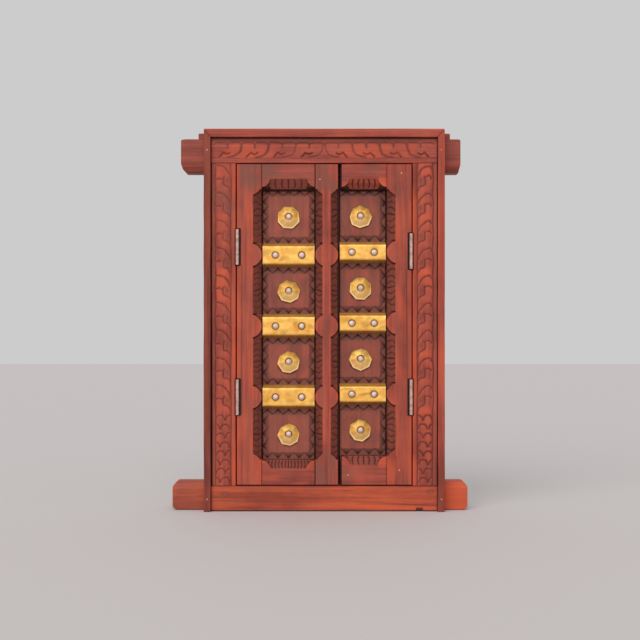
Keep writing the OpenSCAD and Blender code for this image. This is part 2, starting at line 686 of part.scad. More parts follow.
// Cut and hammered brass octagon, raised to a seat for its nail
module rosette(side, i) color(brass) on_side(side)
    translate([rosette_u(side), field_z(side, i), -strip_t]) difference() {
        rotate([0, 0, 22.5]) difference() {
            cylinder(r1 = rosette_r, r2 = rosette_seat_r, h = rosette_h, $fn = 8);
            translate([0, 0, -1.2*brass_t])
                cylinder(r1 = rosette_r, r2 = rosette_seat_r, h = rosette_h, $fn = 8);
        }
        translate([0, 0, -over]) cylinder(r = shank_r + nail_fit, h = rosette_h + 2*over);
    }

// Round-headed nail, its head's underside on z = 0
module dome_nail(l) {
    ball = (dome_d*dome_d/4 + dome_h*dome_h)/(2*dome_h);
    intersection() {
        translate([0, 0, dome_h - ball]) sphere(ball);
        translate([-dome_d, -dome_d, 0]) cube([2*dome_d, 2*dome_d, dome_h + over]);
    }
    translate([0, 0, -l]) cylinder(r = shank_r, h = l + dome_h/2);
}

module strap_nails(side) color(steel) on_side(side) at_nails(side) dome_nail(strap_shank);

module rosette_nails(side) color(steel) on_side(side) at_fields(side, rosette_u(side))
    translate([0, 0, rosette_h]) dome_nail(rosette_shank);

module leaf_brads(side) color(steel) on_side(side) brad_holes(side, shank_r);

lintel();
sill();
jamb("left");  // left_jamb
jamb("right");  // right_jamb
batten("left");  // left_batten
batten("right");  // right_batten
top_batten();
batten_nails();
flap("left", 2, -1);  // left_upper_frame_flap
flap("left", 1, -1);  // left_lower_frame_flap
flap("right", 2, -1);  // right_upper_frame_flap
flap("right", 1, -1);  // right_lower_frame_flap
pin("left", 2);  // left_upper_pin
pin("left", 1);  // left_lower_pin
pin("right", 2);  // right_upper_pin
pin("right", 1);  // right_lower_pin
frame_hinge_screws();
backboard("left");  // left_backboard
hinge_stile("left");  // left_hinge_stile
left_meeting_stile();
top_rail("left");  // left_top_rail
bottom_rail("left");  // left_bottom_rail
bar("left", 1);  // left_bar_1
bar("left", 2);  // left_bar_2
bar("left", 3);  // left_bar_3
strap("left", 1);  // left_strap_1
strap("left", 2);  // left_strap_2
strap("left", 3);  // left_strap_3
rosette("left", 1);  // left_rosette_1
rosette("left", 2);  // left_rosette_2
rosette("left", 3);  // left_rosette_3
rosette("left", 4);  // left_rosette_4
strap_nails("left");  // left_strap_nails
rosette_nails("left");  // left_rosette_nails
flap("left", 2, 1);  // left_upper_leaf_flap
flap("left", 1, 1);  // left_lower_leaf_flap
hinge_screws("left", 1);  // left_hinge_screws
leaf_brads("left");  // left_brads
backboard("right");  // right_backboard
hinge_stile("right");  // right_hinge_stile
top_rail("right");  // right_top_rail
bottom_rail("right");  // right_bottom_rail
bar("right", 1);  // right_bar_1
bar("right", 2);  // right_bar_2
bar("right", 3);  // right_bar_3
strap("right", 1);  // right_strap_1
strap("right", 2);  // right_strap_2
strap("right", 3);  // right_strap_3
rosette("right", 1);  // right_rosette_1
rosette("right", 2);  // right_rosette_2
rosette("right", 3);  // right_rosette_3
rosette("right", 4);  // right_rosette_4
strap_nails("right");  // right_strap_nails
rosette_nails("right");  // right_rosette_nails
flap("right", 2, 1);  // right_upper_leaf_flap
flap("right", 1, 1);  // right_lower_leaf_flap
hinge_screws("right", 1);  // right_hinge_screws
leaf_brads("right");  // right_brads
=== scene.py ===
"""Carved wooden window with a pair of leaves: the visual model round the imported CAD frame.

Shapes are worked out in millimetres as seen from the front: x to the right, z up, and depth
behind the frame's front plane. They are turned into metres when a mesh is made.
"""

import bpy
import numpy as np
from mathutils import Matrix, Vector


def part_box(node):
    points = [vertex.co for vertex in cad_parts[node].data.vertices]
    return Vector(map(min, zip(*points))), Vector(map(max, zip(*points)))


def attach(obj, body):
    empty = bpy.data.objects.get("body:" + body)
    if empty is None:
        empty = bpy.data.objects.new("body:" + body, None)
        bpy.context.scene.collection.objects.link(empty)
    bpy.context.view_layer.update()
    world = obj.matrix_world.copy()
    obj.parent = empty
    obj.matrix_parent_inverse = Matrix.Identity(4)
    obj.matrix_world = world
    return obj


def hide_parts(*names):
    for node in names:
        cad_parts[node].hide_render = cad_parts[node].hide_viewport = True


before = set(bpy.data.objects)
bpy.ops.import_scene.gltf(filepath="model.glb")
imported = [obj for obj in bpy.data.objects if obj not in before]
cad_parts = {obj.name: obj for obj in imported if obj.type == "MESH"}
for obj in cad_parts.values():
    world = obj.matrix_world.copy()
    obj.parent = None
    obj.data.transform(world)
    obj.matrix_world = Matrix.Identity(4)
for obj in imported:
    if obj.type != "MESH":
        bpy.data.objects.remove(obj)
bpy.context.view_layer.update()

# Jambs
# Two uprights of the frame, of the hardwood that all its wood is, tenoned into lintel and sill. On
# each 35 mm face a carved band of scrolls, with scales below, runs up between two incised grooves.
MM = 0.001
# The three marks: wear and painted highlight, greying, and grime and painted shade.
MARKS = ("worn", "aged", "hollow")


def linear(hex_colour):
    """An sRGB hex colour as linear RGBA: the two-part sRGB curve, undone channel by channel."""
    srgb = np.array([int(hex_colour[i:i + 2], 16) for i in (1, 3, 5)]) / 255
    low = srgb / 12.92
    high = ((srgb + 0.055) / 1.055) ** 2.4
    return (*np.where(srgb <= 0.04045, low, high).tolist(), 1.0)


def wire(target, inputs):
    """Gives a node's sockets their values or links."""
    for key, value in inputs.items():
        if isinstance(value, bpy.types.NodeSocket):
            target.id_data.links.new(value, target.inputs[key])
        else:
            target.inputs[key].default_value = value


def node(tree, kind, inputs=None, stops=(), **settings):
    """Adds a node: settings are its properties, inputs gives its sockets values or links, and stops
    gives a colour ramp its places and colours, the two ends first."""
    added = tree.nodes.new(kind)
    for key, value in settings.items():
        setattr(added, key, value)
    for k, (place, colour) in enumerate(stops):
        spots = added.color_ramp.elements
        spot = spots[k] if k < 2 else spots.new(place)
        spot.position = place
        spot.color = linear(colour)
    wire(added, inputs or {})
    return added


def new_material(name):
    """An empty node material, as the material, its tree and its shader."""
    material = bpy.data.materials.new(name)
    material.use_nodes = True
    tree = material.node_tree
    return material, tree, tree.nodes["Principled BSDF"]


def tinted(tree, colour, tints):
    """A colour pulled towards one tint after another, by the mesh's mark of that name times a strength."""
    for mark, (tint, strength) in tints.items():
        share = node(tree, "ShaderNodeAttribute", attribute_name=mark).outputs["Fac"]
        share = node(tree, "ShaderNodeMath", {0: share, 1: strength}, operation="MULTIPLY", use_clamp=True)
        colour = node(tree, "ShaderNodeMix", {"Factor": share.outputs[0], 6: colour, 7: linear(tint)},
                      data_type="RGBA").outputs[2]
    return colour


# Dense hardwood, planed by hand, stained red-brown and oiled: the eye sees long soft streaks, short
# dark pores, dirt and painted shade in every cut and corner, greyer wood higher up, and a brighter
# red where hands rub it and where painted highlights run along edges.
def stained_wood(name, along, dark, mid, light, vein=0.8):
    """Wood with its grain along one axis: a noise stretched along it for streaks and one for cloudy
    patches shade it from dark over mid to light, two more darken pores and veins, and the marks of
    the mesh then pull it towards a brighter red for wear and painted highlight, greyed wood, and near
    black for grime and painted shade."""
    # Tints: bright red for wear and painted highlights, grey for greying, near black for grime and painted
    # shade.
    tints = {"worn": ("#CC5636", 0.8), "aged": ("#78493E", 0.8), "hollow": ("#1C0A06", 0.96)}
    material, tree, shader = new_material(name)
    place = node(tree, "ShaderNodeTexCoord").outputs["Object"]

    def grain(width, length, detail, distortion):
        """Noise over object coordinates divided by a grain's width and, along the piece, by its length,
        both in mm."""
        scale = [1 / (width * MM)] * 3
        scale["XYZ".index(along)] = 1 / (length * MM)
        stretched = node(tree, "ShaderNodeMapping", {"Vector": place, "Scale": scale})
        return node(tree, "ShaderNodeTexNoise",
                    {"Vector": stretched.outputs["Vector"], "Scale": 1.0, "Detail": detail,
                     "Roughness": 0.58, "Distortion": distortion}).outputs["Fac"]

    streaks = grain(width=8, length=200, detail=4.0, distortion=0.9)
    pores = grain(width=0.9, length=16, detail=2.0, distortion=0.0)
    veins = grain(width=3.2, length=300, detail=1.0, distortion=0.6)
    patches = grain(width=60, length=60, detail=3.0, distortion=0.0)
    tone = node(tree, "ShaderNodeMath", {0: streaks, 1: 0.55, 2: 0.0}, operation="MULTIPLY_ADD")
    tone = node(tree, "ShaderNodeMath", {0: patches, 1: 0.45, 2: tone.outputs[0]}, operation="MULTIPLY_ADD")
    colour = node(tree, "ShaderNodeValToRGB", {"Fac": tone.outputs[0]},
                  stops=((0.4, dark), (0.6, light), (0.5, mid))).outputs["Color"]
    for marking, start, end, first, last in ((pores, 0.34, 0.54, 0.87, 1.02), (veins, 0.56, 0.72, 1.0, vein)):
        shade = node(tree, "ShaderNodeMapRange", {"Value": marking, "From Min": start, "From Max": end,
                                                  "To Min": first, "To Max": last})
        colour = node(tree, "ShaderNodeMix", {"Factor": 1.0, 6: colour, 7: shade.outputs["Result"]},
                      data_type="RGBA", blend_type="MULTIPLY").outputs[2]
    rough = node(tree, "ShaderNodeMapRange",
                 {"Value": patches, "From Min": 0.3, "From Max": 0.7, "To Min": 0.5, "To Max": 0.66})
    bump = node(tree, "ShaderNodeBump", {"Strength": 0.3, "Distance": 0.25 * MM, "Height": pores})
    wire(shader, {"Base Color": tinted(tree, colour, tints), "Roughness": rough.outputs["Result"],
                  "Specular IOR Level": 0.25, "Normal": bump.outputs["Normal"]})
    return material


upright_wood = stained_wood("stained_hardwood_upright", "Z", "#82382C", "#9A4435", "#AC503C")


def marked(shape, worn=0, aged=0, hollow=0):
    """The three marks of the wood, in the order of MARKS, over a grid of the given shape."""
    marks = [np.broadcast_to(mark, shape) for mark in (worn, aged, hollow)]
    return np.clip(np.stack(marks, axis=-1), 0, 1)


def loft(rings, marks):
    """A closed skin over closed rings of points, n rings of m points: quads join each ring to the
    next, and a fan from its middle closes each end. Returns points, quads, triangles and marks."""
    n, m = rings.shape[:2]
    middles = [(rings[k].min(0) + rings[k].max(0)) / 2 for k in (0, -1)]
    points = np.concatenate([rings.reshape(-1, 3), middles])
    here = np.arange(n * m).reshape(n, m)
    after = np.roll(here, -1, axis=1)
    quads = np.stack([here[:-1], after[:-1], after[1:], here[1:]], axis=-1).reshape(-1, 4)
    first = np.stack([after[0], here[0], np.full(m, n * m)], axis=-1)
    last = np.stack([here[-1], after[-1], np.full(m, n * m + 1)], axis=-1)
    triangles = np.concatenate([first, last])
    corners = points[np.concatenate([quads[:, [0, 1, 2]], quads[:, [0, 2, 3]], triangles])]
    volume = np.einsum("ij,ij->i", corners[:, 0], np.cross(corners[:, 1], corners[:, 2])).sum()
    inside_out = volume > 0
    if inside_out:
        quads, triangles = quads[:, ::-1], triangles[:, ::-1]
    return points, quads, triangles, np.concatenate([marks.reshape(-1, 3), np.zeros((2, 3))])


def edges(cad_node):
    """A CAD node's lowest and highest corner in millimetres."""
    low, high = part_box(cad_node)
    return np.array(low) / MM, np.array(high) / MM


def dress(name, shells, material, body, slot, *nodes):
    """Makes one object of several skins, with their marks, that stands for the CAD nodes."""
    front = edges("left_hinge_stile")[0][1]
    sharp_from = np.radians(38)
    starts = np.cumsum([0] + [len(shell[0]) for shell in shells])
    points = np.concatenate([shell[0] for shell in shells])
    points = np.stack([points[:, 0], points[:, 2] + front, points[:, 1]], axis=1) * MM
    quads = np.concatenate([shell[1] + start for shell, start in zip(shells, starts)])
    triangles = np.concatenate([shell[2] + start for shell, start in zip(shells, starts)])
    marks = np.concatenate([shell[3] for shell in shells])
    mesh = bpy.data.meshes.new(name)
    mesh.vertices.add(len(points))
    mesh.vertices.foreach_set("co", points.ravel())
    mesh.loops.add(quads.size + triangles.size)
    mesh.loops.foreach_set("vertex_index", np.concatenate([quads.ravel(), triangles.ravel()]))
    mesh.polygons.add(len(quads) + len(triangles))
    mesh.polygons.foreach_set("loop_start", np.concatenate(
        [np.arange(len(quads)) * 4, quads.size + np.arange(len(triangles)) * 3]))
    mesh.update(calc_edges=True)
    for i, mark in enumerate(MARKS):
        layer = mesh.attributes.new(mark, "FLOAT", "POINT")
        layer.data.foreach_set("value", np.ascontiguousarray(marks[:, i]))
    mesh.set_sharp_from_angle(angle=sharp_from)
    mesh.materials.append(material)
    piece = bpy.data.objects.new(name, mesh)
    bpy.context.scene.collection.objects.link(piece)
    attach(piece, body)
    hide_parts(*nodes)
    return piece


def uneven(seed, a, b, size_a, size_b):
    """Smooth unevenness of about -1 to 1: eight plane waves of seeded heading and phase, summed."""
    chance = np.random.default_rng(seed)
    total = 0
    for turn, phase, stretch in chance.uniform([0, 0, 0.6], [2 * np.pi, 2 * np.pi, 1.5], (8, 3)):
        total = total + np.sin(
            2 * np.pi * stretch * (np.cos(turn) * a / size_a + np.sin(turn) * b / size_b) + phase)
    return total / 4


def planed(seed, a, b, swell, size_a, size_b):
    """Height of a face planed by hand: a slight unevenness that stays below the true face."""
    true_face = 0.15
    return swell * uneven(seed, a, b, size_a, size_b) - true_face


def step(value, start, end):
    """Goes smoothly from 0 at start to 1 at end, by the cubic 3t^2 - 2t^3."""
    t = np.clip((value - start) / (end - start), 0, 1)
    return t * t * (3 - 2 * t)


def bell(off, width):
    """Fades smoothly from 1 with the distance: e to the power of minus its square over the width's."""
    return np.exp(-(off / width) ** 2)


def from_ends(place, low, high):
    """How far a place lies inside the nearer of two ends, or outside them where less than 0."""
    return np.minimum(place - low, high - place)


def arris(inset, radius):
    """How far a rounded arris lies below the face at a distance inside its edge: a quarter circle."""
    lack = np.clip(radius - inset, 0, radius)
    return radius - np.sqrt(radius ** 2 - lack ** 2)


def grid(a0, a1, count_a, b0, b1, count_b):
    """Even places across and along a face, and both as whole grids."""
    a, b = np.linspace(a0, a1, count_a), np.linspace(b0, b1, count_b)
    return a, b, *np.meshgrid(a, b)


def cut_distance(a, b, strokes, reach=5.0):
    """Distance of each point of the grid a by b from the nearest stroke: for every straight length
    of a stroke, the distance from the nearest point on it, worked out in the window it can reach."""
    nearest = np.full((len(b), len(a)), reach)
    for stroke in strokes:
        stroke = np.asarray(stroke, float)
        for start, end in zip(stroke[:-1], stroke[1:]):
            low, high = np.minimum(start, end) - reach, np.maximum(start, end) + reach
            i0, i1 = np.searchsorted(a, [low[0], high[0]])
            j0, j1 = np.searchsorted(b, [low[1], high[1]])
            ga, gb = a[None, i0:i1] - start[0], b[j0:j1, None] - start[1]
            run = end - start
            t = np.clip((ga * run[0] + gb * run[1]) / max(run @ run, 1e-9), 0, 1)
            reached = np.hypot(ga - t * run[0], gb - t * run[1])
            nearest[j0:j1, i0:i1] = np.minimum(nearest[j0:j1, i0:i1], reached)
    return nearest


def curve(points, count=10):
    """A smooth stroke through points: each span is a cubic whose ends follow their neighbours."""
    points = np.asarray(points, float)
    ends = np.concatenate([[2 * points[0] - points[1]], points, [2 * points[-1] - points[-2]]])
    t = np.linspace(0, 1, count, endpoint=False)[:, None]
    spans = [0.5 * (2 * b + (c - a) * t + (2 * a - 5 * b + 4 * c - d) * t ** 2
                    + (3 * b - a - 3 * c + d) * t ** 3)
             for a, b, c, d in zip(ends[:-3], ends[1:-2], ends[2:-1], ends[3:])]
    return np.concatenate(spans + [points[-1:]])


def carved_strip(along, a, b, height, marks, back, bevel=0.6):
    """A strip whose front is a height over its grid, a across and b along, with its marks of wear and
    painted highlight, greying, and grime and painted shade: at each place along it, the front row,
    its two sides and its flat back make one ring of a loft."""
    turn = np.sign(a[-1] - a[0])
    front_row = np.stack(np.broadcast_arrays(a[None], b[:, None], -np.minimum(height, 0)), axis=-1)
    corner = np.array([[a[-1], back - bevel], [a[-1] - turn * bevel, back], [a[0] + turn * bevel, back],
                       [a[0], back - bevel]])
    rear = np.stack(np.broadcast_arrays(corner[None, :, 0], b[:, None], corner[None, :, 1]), axis=-1)
    rings = np.concatenate([front_row, rear], axis=1)
    if along == "X":
        rings = rings[..., [1, 0, 2]]
    return loft(rings, np.concatenate([marked(height.shape, *marks), marked((len(b), 4))], axis=1))


def rounded(polygon, radius, count=4):
    """A polygon with its corners rounded: each corner becomes a quadratic curve between the points
    a radius before and after it. Also tells how near each point is to the middle of its curve."""
    polygon = np.asarray(polygon, float)
    before = np.roll(polygon, 1, axis=0) - polygon
    after = np.roll(polygon, -1, axis=0) - polygon
    reach = np.minimum(radius, 0.45 * np.minimum(np.hypot(*before.T), np.hypot(*after.T)))[:, None]
    before = polygon + before / np.hypot(*before.T)[:, None] * reach
    after = polygon + after / np.hypot(*after.T)[:, None] * reach
    t = np.linspace(0, 1, count)[None, :, None]
    points = (1 - t) ** 2 * before[:, None] + 2 * t * (1 - t) * polygon[:, None] + t ** 2 * after[:, None]
    near = np.broadcast_to(1 - np.abs(2 * t[..., 0] - 1), points.shape[:2])
    return points.reshape(-1, 2), near.ravel()


def beam(along, start, end, polygon, radius, seed, wobble=0.1, trim=None, shade=None):
    """A straight piece of one section, drawn as depth and height or as across and depth: the rounded
    section is carried from start to end, drawn in at both ends, and wobbles a little on the way.
    Trim cuts its heights, and shade gives marks from x, height and depth."""
    cell, drift_l, rub_l = 4.0, 90.0, 40.0
    section, near = rounded(polygon, radius)
    middle = (section.min(0) + section.max(0)) / 2
    span = (section.max(0) - section.min(0)) / 2
    inset = radius * np.array([0, 0.15, 0.5, 1])
    inner = np.linspace(start + 2 * radius, end - 2 * radius, max(2, int((end - start) / cell)))
    places = np.concatenate([start + inset, inner, end - inset[::-1]])
    lack = arris(from_ends(places, start, end), radius) + wobble
    rings = middle + (section - middle)[None] * (1 - lack[:, None, None] / span)
    drift = [np.clip(uneven(seed + k, places, 0 * places, drift_l, drift_l), -1, 1) for k in (0, 1)]
    rings = rings + wobble * np.stack(drift, axis=-1)[:, None]
    place = np.broadcast_to(places[:, None], rings.shape[:2])
    if trim is not None:
        rings[..., 1] = trim(place, rings[..., 1])
    if along == "X":
        points = np.stack([place, rings[..., 1], rings[..., 0]], axis=-1)
    else:
        points = np.stack([rings[..., 0], place, rings[..., 1]], axis=-1)
    extra = shade(*np.moveaxis(points, -1, 0)) if shade else {}
    # Rounded corners are lightened: wear and a painted highlight along the arrises.
    corner_wear_and_sheen = 0.6 * near * (0.5 + 0.5 * uneven(seed + 2, place, 0 * place, rub_l, rub_l))
    extra["worn"] = corner_wear_and_sheen + extra.get("worn", 0)
    return loft(points, marked(place.shape, **extra))


LEAF_GAP = 1.5
JAMB_W = 35.0
REBATE = 27.0
FRAME_DEPTH = 48.0
LINTEL_STOP = 12.0
SILL_STOP = 4.0
BAND_IN = 6.7
SCROLL_PITCH = 38.8
SCROLLS = 9
SCROLL_TOP_IN = 4.0
POCKET = {"across": 23.2, "below": 21.5, "half_w": 3.8, "half_h": 5.5}
CUSHION = {"across": 18.0, "below": 33.0, "half_w": 8.0, "half_h": 4.5}
stile_low, stile_high = edges("left_hinge_stile")
sill_top = stile_low[2] - LEAF_GAP
lintel_low = stile_high[2] + LEAF_GAP
face_l = stile_low[0] - LEAF_GAP - JAMB_W
face_r = edges("right_hinge_stile")[1][0] + LEAF_GAP + JAMB_W
scroll_top = lintel_low - SCROLL_TOP_IN


def scroll_strokes(chance, curled):
    """Strokes of a jamb's band, across from its outer edge and up: an arch, a hook and a dash for
    each scroll, then rows of half-round scales, all a little out of true as a chisel leaves them.
    Where curled, the arch turns down at its outer end and the dash bows up to the hook."""
    outer, inner = BAND_IN, JAMB_W - BAND_IN
    low = scroll_top - SCROLLS * SCROLL_PITCH
    heights = np.linspace(sill_top + 1, lintel_low - 1, 90)
    swell = np.where(heights > low, np.sin(np.pi * (scroll_top - heights) / SCROLL_PITCH) ** 2, 0)
    strokes = [np.stack([outer - 1.1 * swell, heights], axis=1),
               np.stack([inner + 0.3 * np.sin(heights / 17), heights], axis=1)]
    arch = np.array([[outer, 0.2], [10, 0.4], [15.5, -0.7], [20, -3.7], [23.5, -7.8], [26, -12], [28, -16.5]])
    hook = np.array([[18.6, -15.6], [17.4, -21], [18.4, -27.3], [23.6, -29.3], [26.6, -32.5], [28.2, -37]])
    dash = np.array([[outer + 0.6, -19.6], [11, -18.2], [15, -19.4]])
    if curled:
        arch[:2] = [[outer + 1.0, -4.4], [9.8, -0.4]]
        dash[:] = [[outer + 0.8, -18.4], [11.4, -14.9], [17.8, -16.0]]
    for i in range(SCROLLS):
        for part in (arch, hook, dash):
            place = [0, scroll_top - i * SCROLL_PITCH]
            strokes.append(curve(part + place + chance.normal(0, 0.35, part.shape)))
    scale_w, scale_r, row_h, first_in = 14.4, 6.5, 12.6, 4
    turn = np.linspace(0, np.pi, 13)
    for row in range(int((low - sill_top) / row_h)):
        for column in range(3):
            centre = outer + 6.4 + scale_w * (column - 0.5 * (row % 2))
            foot = low - first_in - row_h * row - scale_r
            arc = np.stack([centre + scale_r * np.cos(turn), foot + 1.1 * scale_r * np.sin(turn)], axis=1)
            arc = arc + chance.normal(0, 0.3, 2)
            strokes.append(arc[(arc[:, 0] > outer) & (arc[:, 0] < inner)])
    return [stroke for stroke in strokes if len(stroke) > 1]


def in_each_scroll(A, B, across, below, half_w, half_h):
    """A soft oval patch at one place of every scroll: 1 in its middle, fading by a squared distance."""
    top = scroll_top - below
    low = top - SCROLLS * SCROLL_PITCH
    off = (top - B + SCROLL_PITCH / 2) % SCROLL_PITCH - SCROLL_PITCH / 2
    within = (B > low + SCROLL_PITCH / 2) & (B < top + SCROLL_PITCH / 2)
    return within * np.exp(-((A - across) / half_w) ** 2 - (off / half_h) ** 2)


def incised(gap, depth, width):
    """Height of a face near V cuts: a sharp valley whose shoulders round over into the face, by a
    fall that fades with the distance, plus a wide shallow pillow."""
    return -depth * (0.72 * np.exp(-gap / width) + 0.28 * np.exp(-gap / (4 * width)))


# Each mark is a sum of shares, here and on the other faces: a matched weight times where it
# lies, which fades over so many millimetres, often times patches of so many millimetres.
for side, sign, edge_shade, faint, grey, seed in (("left", 1, 2.0, 0.5, 0.6, 11),
                                            ("right", -1, 1.2, 0.1, 0.15, 23)):
    outer_face = face_l if sign > 0 else face_r
    across, up, A, B = grid(0, JAMB_W, 61, sill_top, lintel_low, 600)
    gap = cut_distance(across, up, scroll_strokes(np.random.default_rng(seed), sign < 0))
    pocket = in_each_scroll(A, B, **POCKET)
    cushion = in_each_scroll(A, B, **CUSHION)
    from_joint = from_ends(B, sill_top, lintel_low)
    height = incised(gap, 1.5, 0.8) - 0.5 * pocket + planed(seed, A, B, 0.14, 14, 40)
    height = height - arris(from_ends(A, 0, JAMB_W), 1.5) - arris(from_joint, 0.5)
    fade = 1 - faint * step(lintel_low - B, 260, 60)
    hollow = fade * (0.54 * bell(gap, 0.6) + 0.06 * np.exp(-gap / 1.6))
    # Painted shadow on the jamb's inner edge beside each hinge.
    for flap in ("_upper_frame_flap", "_lower_frame_flap"):
        flap_low, flap_high = edges(side + flap)
        by_hinge = step(from_ends(B, flap_low[2], flap_high[2]), -1.6, -0.6)
        hollow += by_hinge * step(JAMB_W - A, 2.2, 1.2)
    # Painted shade along the outer edge, in the corner against the proud batten, and dark joint lines at the
    # ends; the scroll pockets get painted shade too.
    edge_shade_w = edge_shade * (1 + 0.6 * step(B, 330, 120) * (sign > 0))
    hollow += step(A, edge_shade_w, 0.5 * edge_shade_w) + 0.6 * np.exp(-from_joint / 0.7) + 0.22 * fade * pocket
    in_band = step(A, BAND_IN, BAND_IN + 2) * step(JAMB_W - A, BAND_IN, BAND_IN + 2)
    inner_strip = step(JAMB_W - A, BAND_IN, BAND_IN - 1.5)
    worn = 0.9 * np.exp(-(JAMB_W - A) / 2.0) * step(uneven(seed + 6, B, B, 120, 120), -0.6, 0.3)
    worn += 0.45 * inner_strip * step(uneven(seed + 7, A, B, 60, 150), -0.5, 0.6)
    worn += 0.7 * in_band * step(gap, 0.9, 3.5) * step(uneven(seed + 5, A, B, 60, 90), -0.2, 0.7)
    worn = worn * (1 - pocket) + 0.35 * cushion
    aged = grey * step(lintel_low - B, 170, 20) * step(uneven(seed + 8, A, B, 50, 60), -0.4, 0.6)
    # The pockets are greyed as well, deepening their painted shade.
    aged += 0.2 * step(BAND_IN - A, -2, 1) + 0.5 * pocket
    face = carved_strip("Z", outer_face + sign * across, up, height, (worn, aged, hollow), REBATE)
    stop = edges(side + "_jamb")[1 if sign > 0 else 0][0]
    x0, x1 = sorted([outer_face, stop])
    rear = beam("Z", sill_top + SILL_STOP, lintel_low - LINTEL_STOP,
                [[x0, REBATE - 1], [x1, REBATE - 1], [x1, FRAME_DEPTH], [x0, FRAME_DEPTH]], 1.0, seed)
    dress(side + "_jamb_carved", [face, rear], upright_wood, "frame", "frame_wood", side + "_jamb")

# Lintel
# Head of the frame, of the same wood and tenoned to the jambs: a carved face between the battens,
# horns that run out behind them, a step on top and a rear edge that the leaves close against.
level_wood = stained_wood("stained_hardwood_level", "X", "#80382E", "#984436", "#AA503F")
HORN_FRONT = 14.0
HORN_ROUND = 1.4
UNDER = 6.0
LEAF_PITCH = 38.5
LEAVES = 4
BAND_LINE = 6.4
BAND_H = 30.0
CAP_OUT = 9.0
TOP_BATTEN_T = 12.0
lintel_box = edges("lintel")
lintel_top = edges("top_batten")[1][2] - TOP_BATTEN_T
stop_z = lintel_box[0][2]


def lintel_strokes(chance):
    """Strokes of the lintel's band, up and along it, mirrored about the middle: each leaf has a long
    curve that sweeps outwards, a short notch and two round shoulders, and a winged chip low down,
    returned apart as it is cut deeper."""
    leaf = [[[1.3, 27], [1.6, 22], [3.4, 16], [7, 11.6], [13, 9.2], [20, 8]],
            [[20.6, 26.6], [20.9, 21.5]],
            [[1.4, 26], [2.7, 27.8], [6, 28.5], [16.5, 28.5], [19.4, 27.6], [20.6, 25.6]],
            [[20.8, 25.6], [22.2, 27.6], [25, 28.5], [35, 28.5], [38.2, 27.6], [39.4, 26]]]
    chip = [[[17, 13.8], [21.6, 12.3], [26.6, 14.4]], [[26.6, 14.4], [29.6, 11.6], [32.2, 8.2]]]
    middle = (face_l + face_r) / 2
    sorts = []
    for parts in (leaf, chip):
        strokes = []
        for sign in (-1, 1):
            for i in range(LEAVES):
                for part in parts:
                    part = np.array(part) + [i * LEAF_PITCH, lintel_low]
                    part = part + chance.normal(0, 0.3, part.shape)
                    part[:, 0] = middle + sign * part[:, 0]
                    strokes.append(curve(part)[:, ::-1])
        sorts.append(strokes)
    return sorts


def cut_corners(end, low, high, lower, upper, length):
    """Trim for a horn's outer end: its heights are held between a lower and an upper cut, which both
    run out evenly over a length."""
    def trim(x, z):
        short = np.clip(1 - np.abs(x - end) / length, 0, 1)
        return np.clip(z, low + lower * short, high - upper * short)
    return trim


def horns(box, under, section, cuts, seed, wobble, shade):
    """The two horns of a lintel or sill, each from its outer end to a little under the carved face. Cuts
    gives for each end how high its lower and upper corners are cut away, and over what length."""
    low, high = section[:, 1].min(), section[:, 1].max()
    pair = []
    for k, cut in enumerate(cuts):
        end = box[k][0]
        start, stop = sorted([end, (face_l + under, face_r - under)[k]])
        trim = cut_corners(end, low, high, *cut)
        pair.append(beam("X", start, stop, section, HORN_ROUND, seed + 2 * k, wobble, trim, shade))
    return pair


def old_horn(x, z, depth):
    """Marks of a lintel's horn: a little greyed, and darker on its front, most towards its lower edge."""
    seen = step(depth, 34, HORN_FRONT + 2)
    return {"aged": 0.2 * seen, "hollow": seen * (0.08 + 0.2 * step(z, stop_z + 14, stop_z))}


up, along, A, B = grid(lintel_low, lintel_top, 64, face_l, face_r, 520)
curves, chips = lintel_strokes(np.random.default_rng(31))
gap, chip_gap = cut_distance(up, along, curves), cut_distance(up, along, chips)
line = np.abs(A - lintel_low - BAND_LINE - 0.4 * np.sin(B / 13))
height = incised(gap, 1.0, 0.65) - 1.6 * bell(chip_gap, 1.1) - 0.6 * np.exp(-line / 0.8)
height = height + planed(33, A, B, 0.14, 14, 40)
height = height - arris(A - lintel_low, 1.4) - arris(lintel_top - A, 1.5)
in_band = step(A - lintel_low, 5, 8) * step(lintel_low + BAND_H - A, 0, 3)
above = step(A - lintel_low, BAND_H - 2, BAND_H)
shown = 0.55 + 0.35 * uneven(38, A, B, 60, 50)
hollow = 0.42 * bell(gap, 0.55) + shown * bell(chip_gap, 0.95) + 0.1 * np.exp(-gap / 1.6)
hollow += 0.2 * bell(line, 0.8)
# Painted shade along the top edge under the top batten and at both ends beside the battens.
hollow += step(lintel_top - A, 2.2, 1.0) + step(from_ends(B, face_l, face_r), 1.4, 0.6)
worn = 0.6 * in_band * step(gap, 0.8, 3.5) * step(uneven(35, A, B, 80, 60), -0.4, 0.6)
worn += 0.5 * np.exp(-(A - lintel_low) / 1.5) * step(uneven(36, B, B, 90, 90), -0.2, 0.5)
aged = 0.3 * above + 0.3 * (1 - in_band) * step(uneven(34, A, B, 60, 60), -0.2, 0.6)
face = carved_strip("X", up, along, height, (worn, aged, hollow), HORN_FRONT + 1)
core = beam("X", face_l - UNDER, face_r + UNDER,
            [[HORN_FRONT, lintel_low], [HORN_FRONT, lintel_top], [FRAME_DEPTH, lintel_top],
             [FRAME_DEPTH, stop_z], [REBATE, stop_z], [REBATE, lintel_low]], 0.8, 37, 0.0)
horn_section = np.array([[HORN_FRONT, stop_z + 9], [HORN_FRONT, lintel_top], [FRAME_DEPTH, lintel_top],
                         [FRAME_DEPTH, stop_z], [HORN_FRONT + 4, stop_z]])
lintel_horns = horns(lintel_box, 0, horn_section, ((13, 2, 4.5), (12, 2, 2.8)), 41, 0.2, old_horn)
batten_l, batten_r = edges("left_batten"), edges("right_batten")
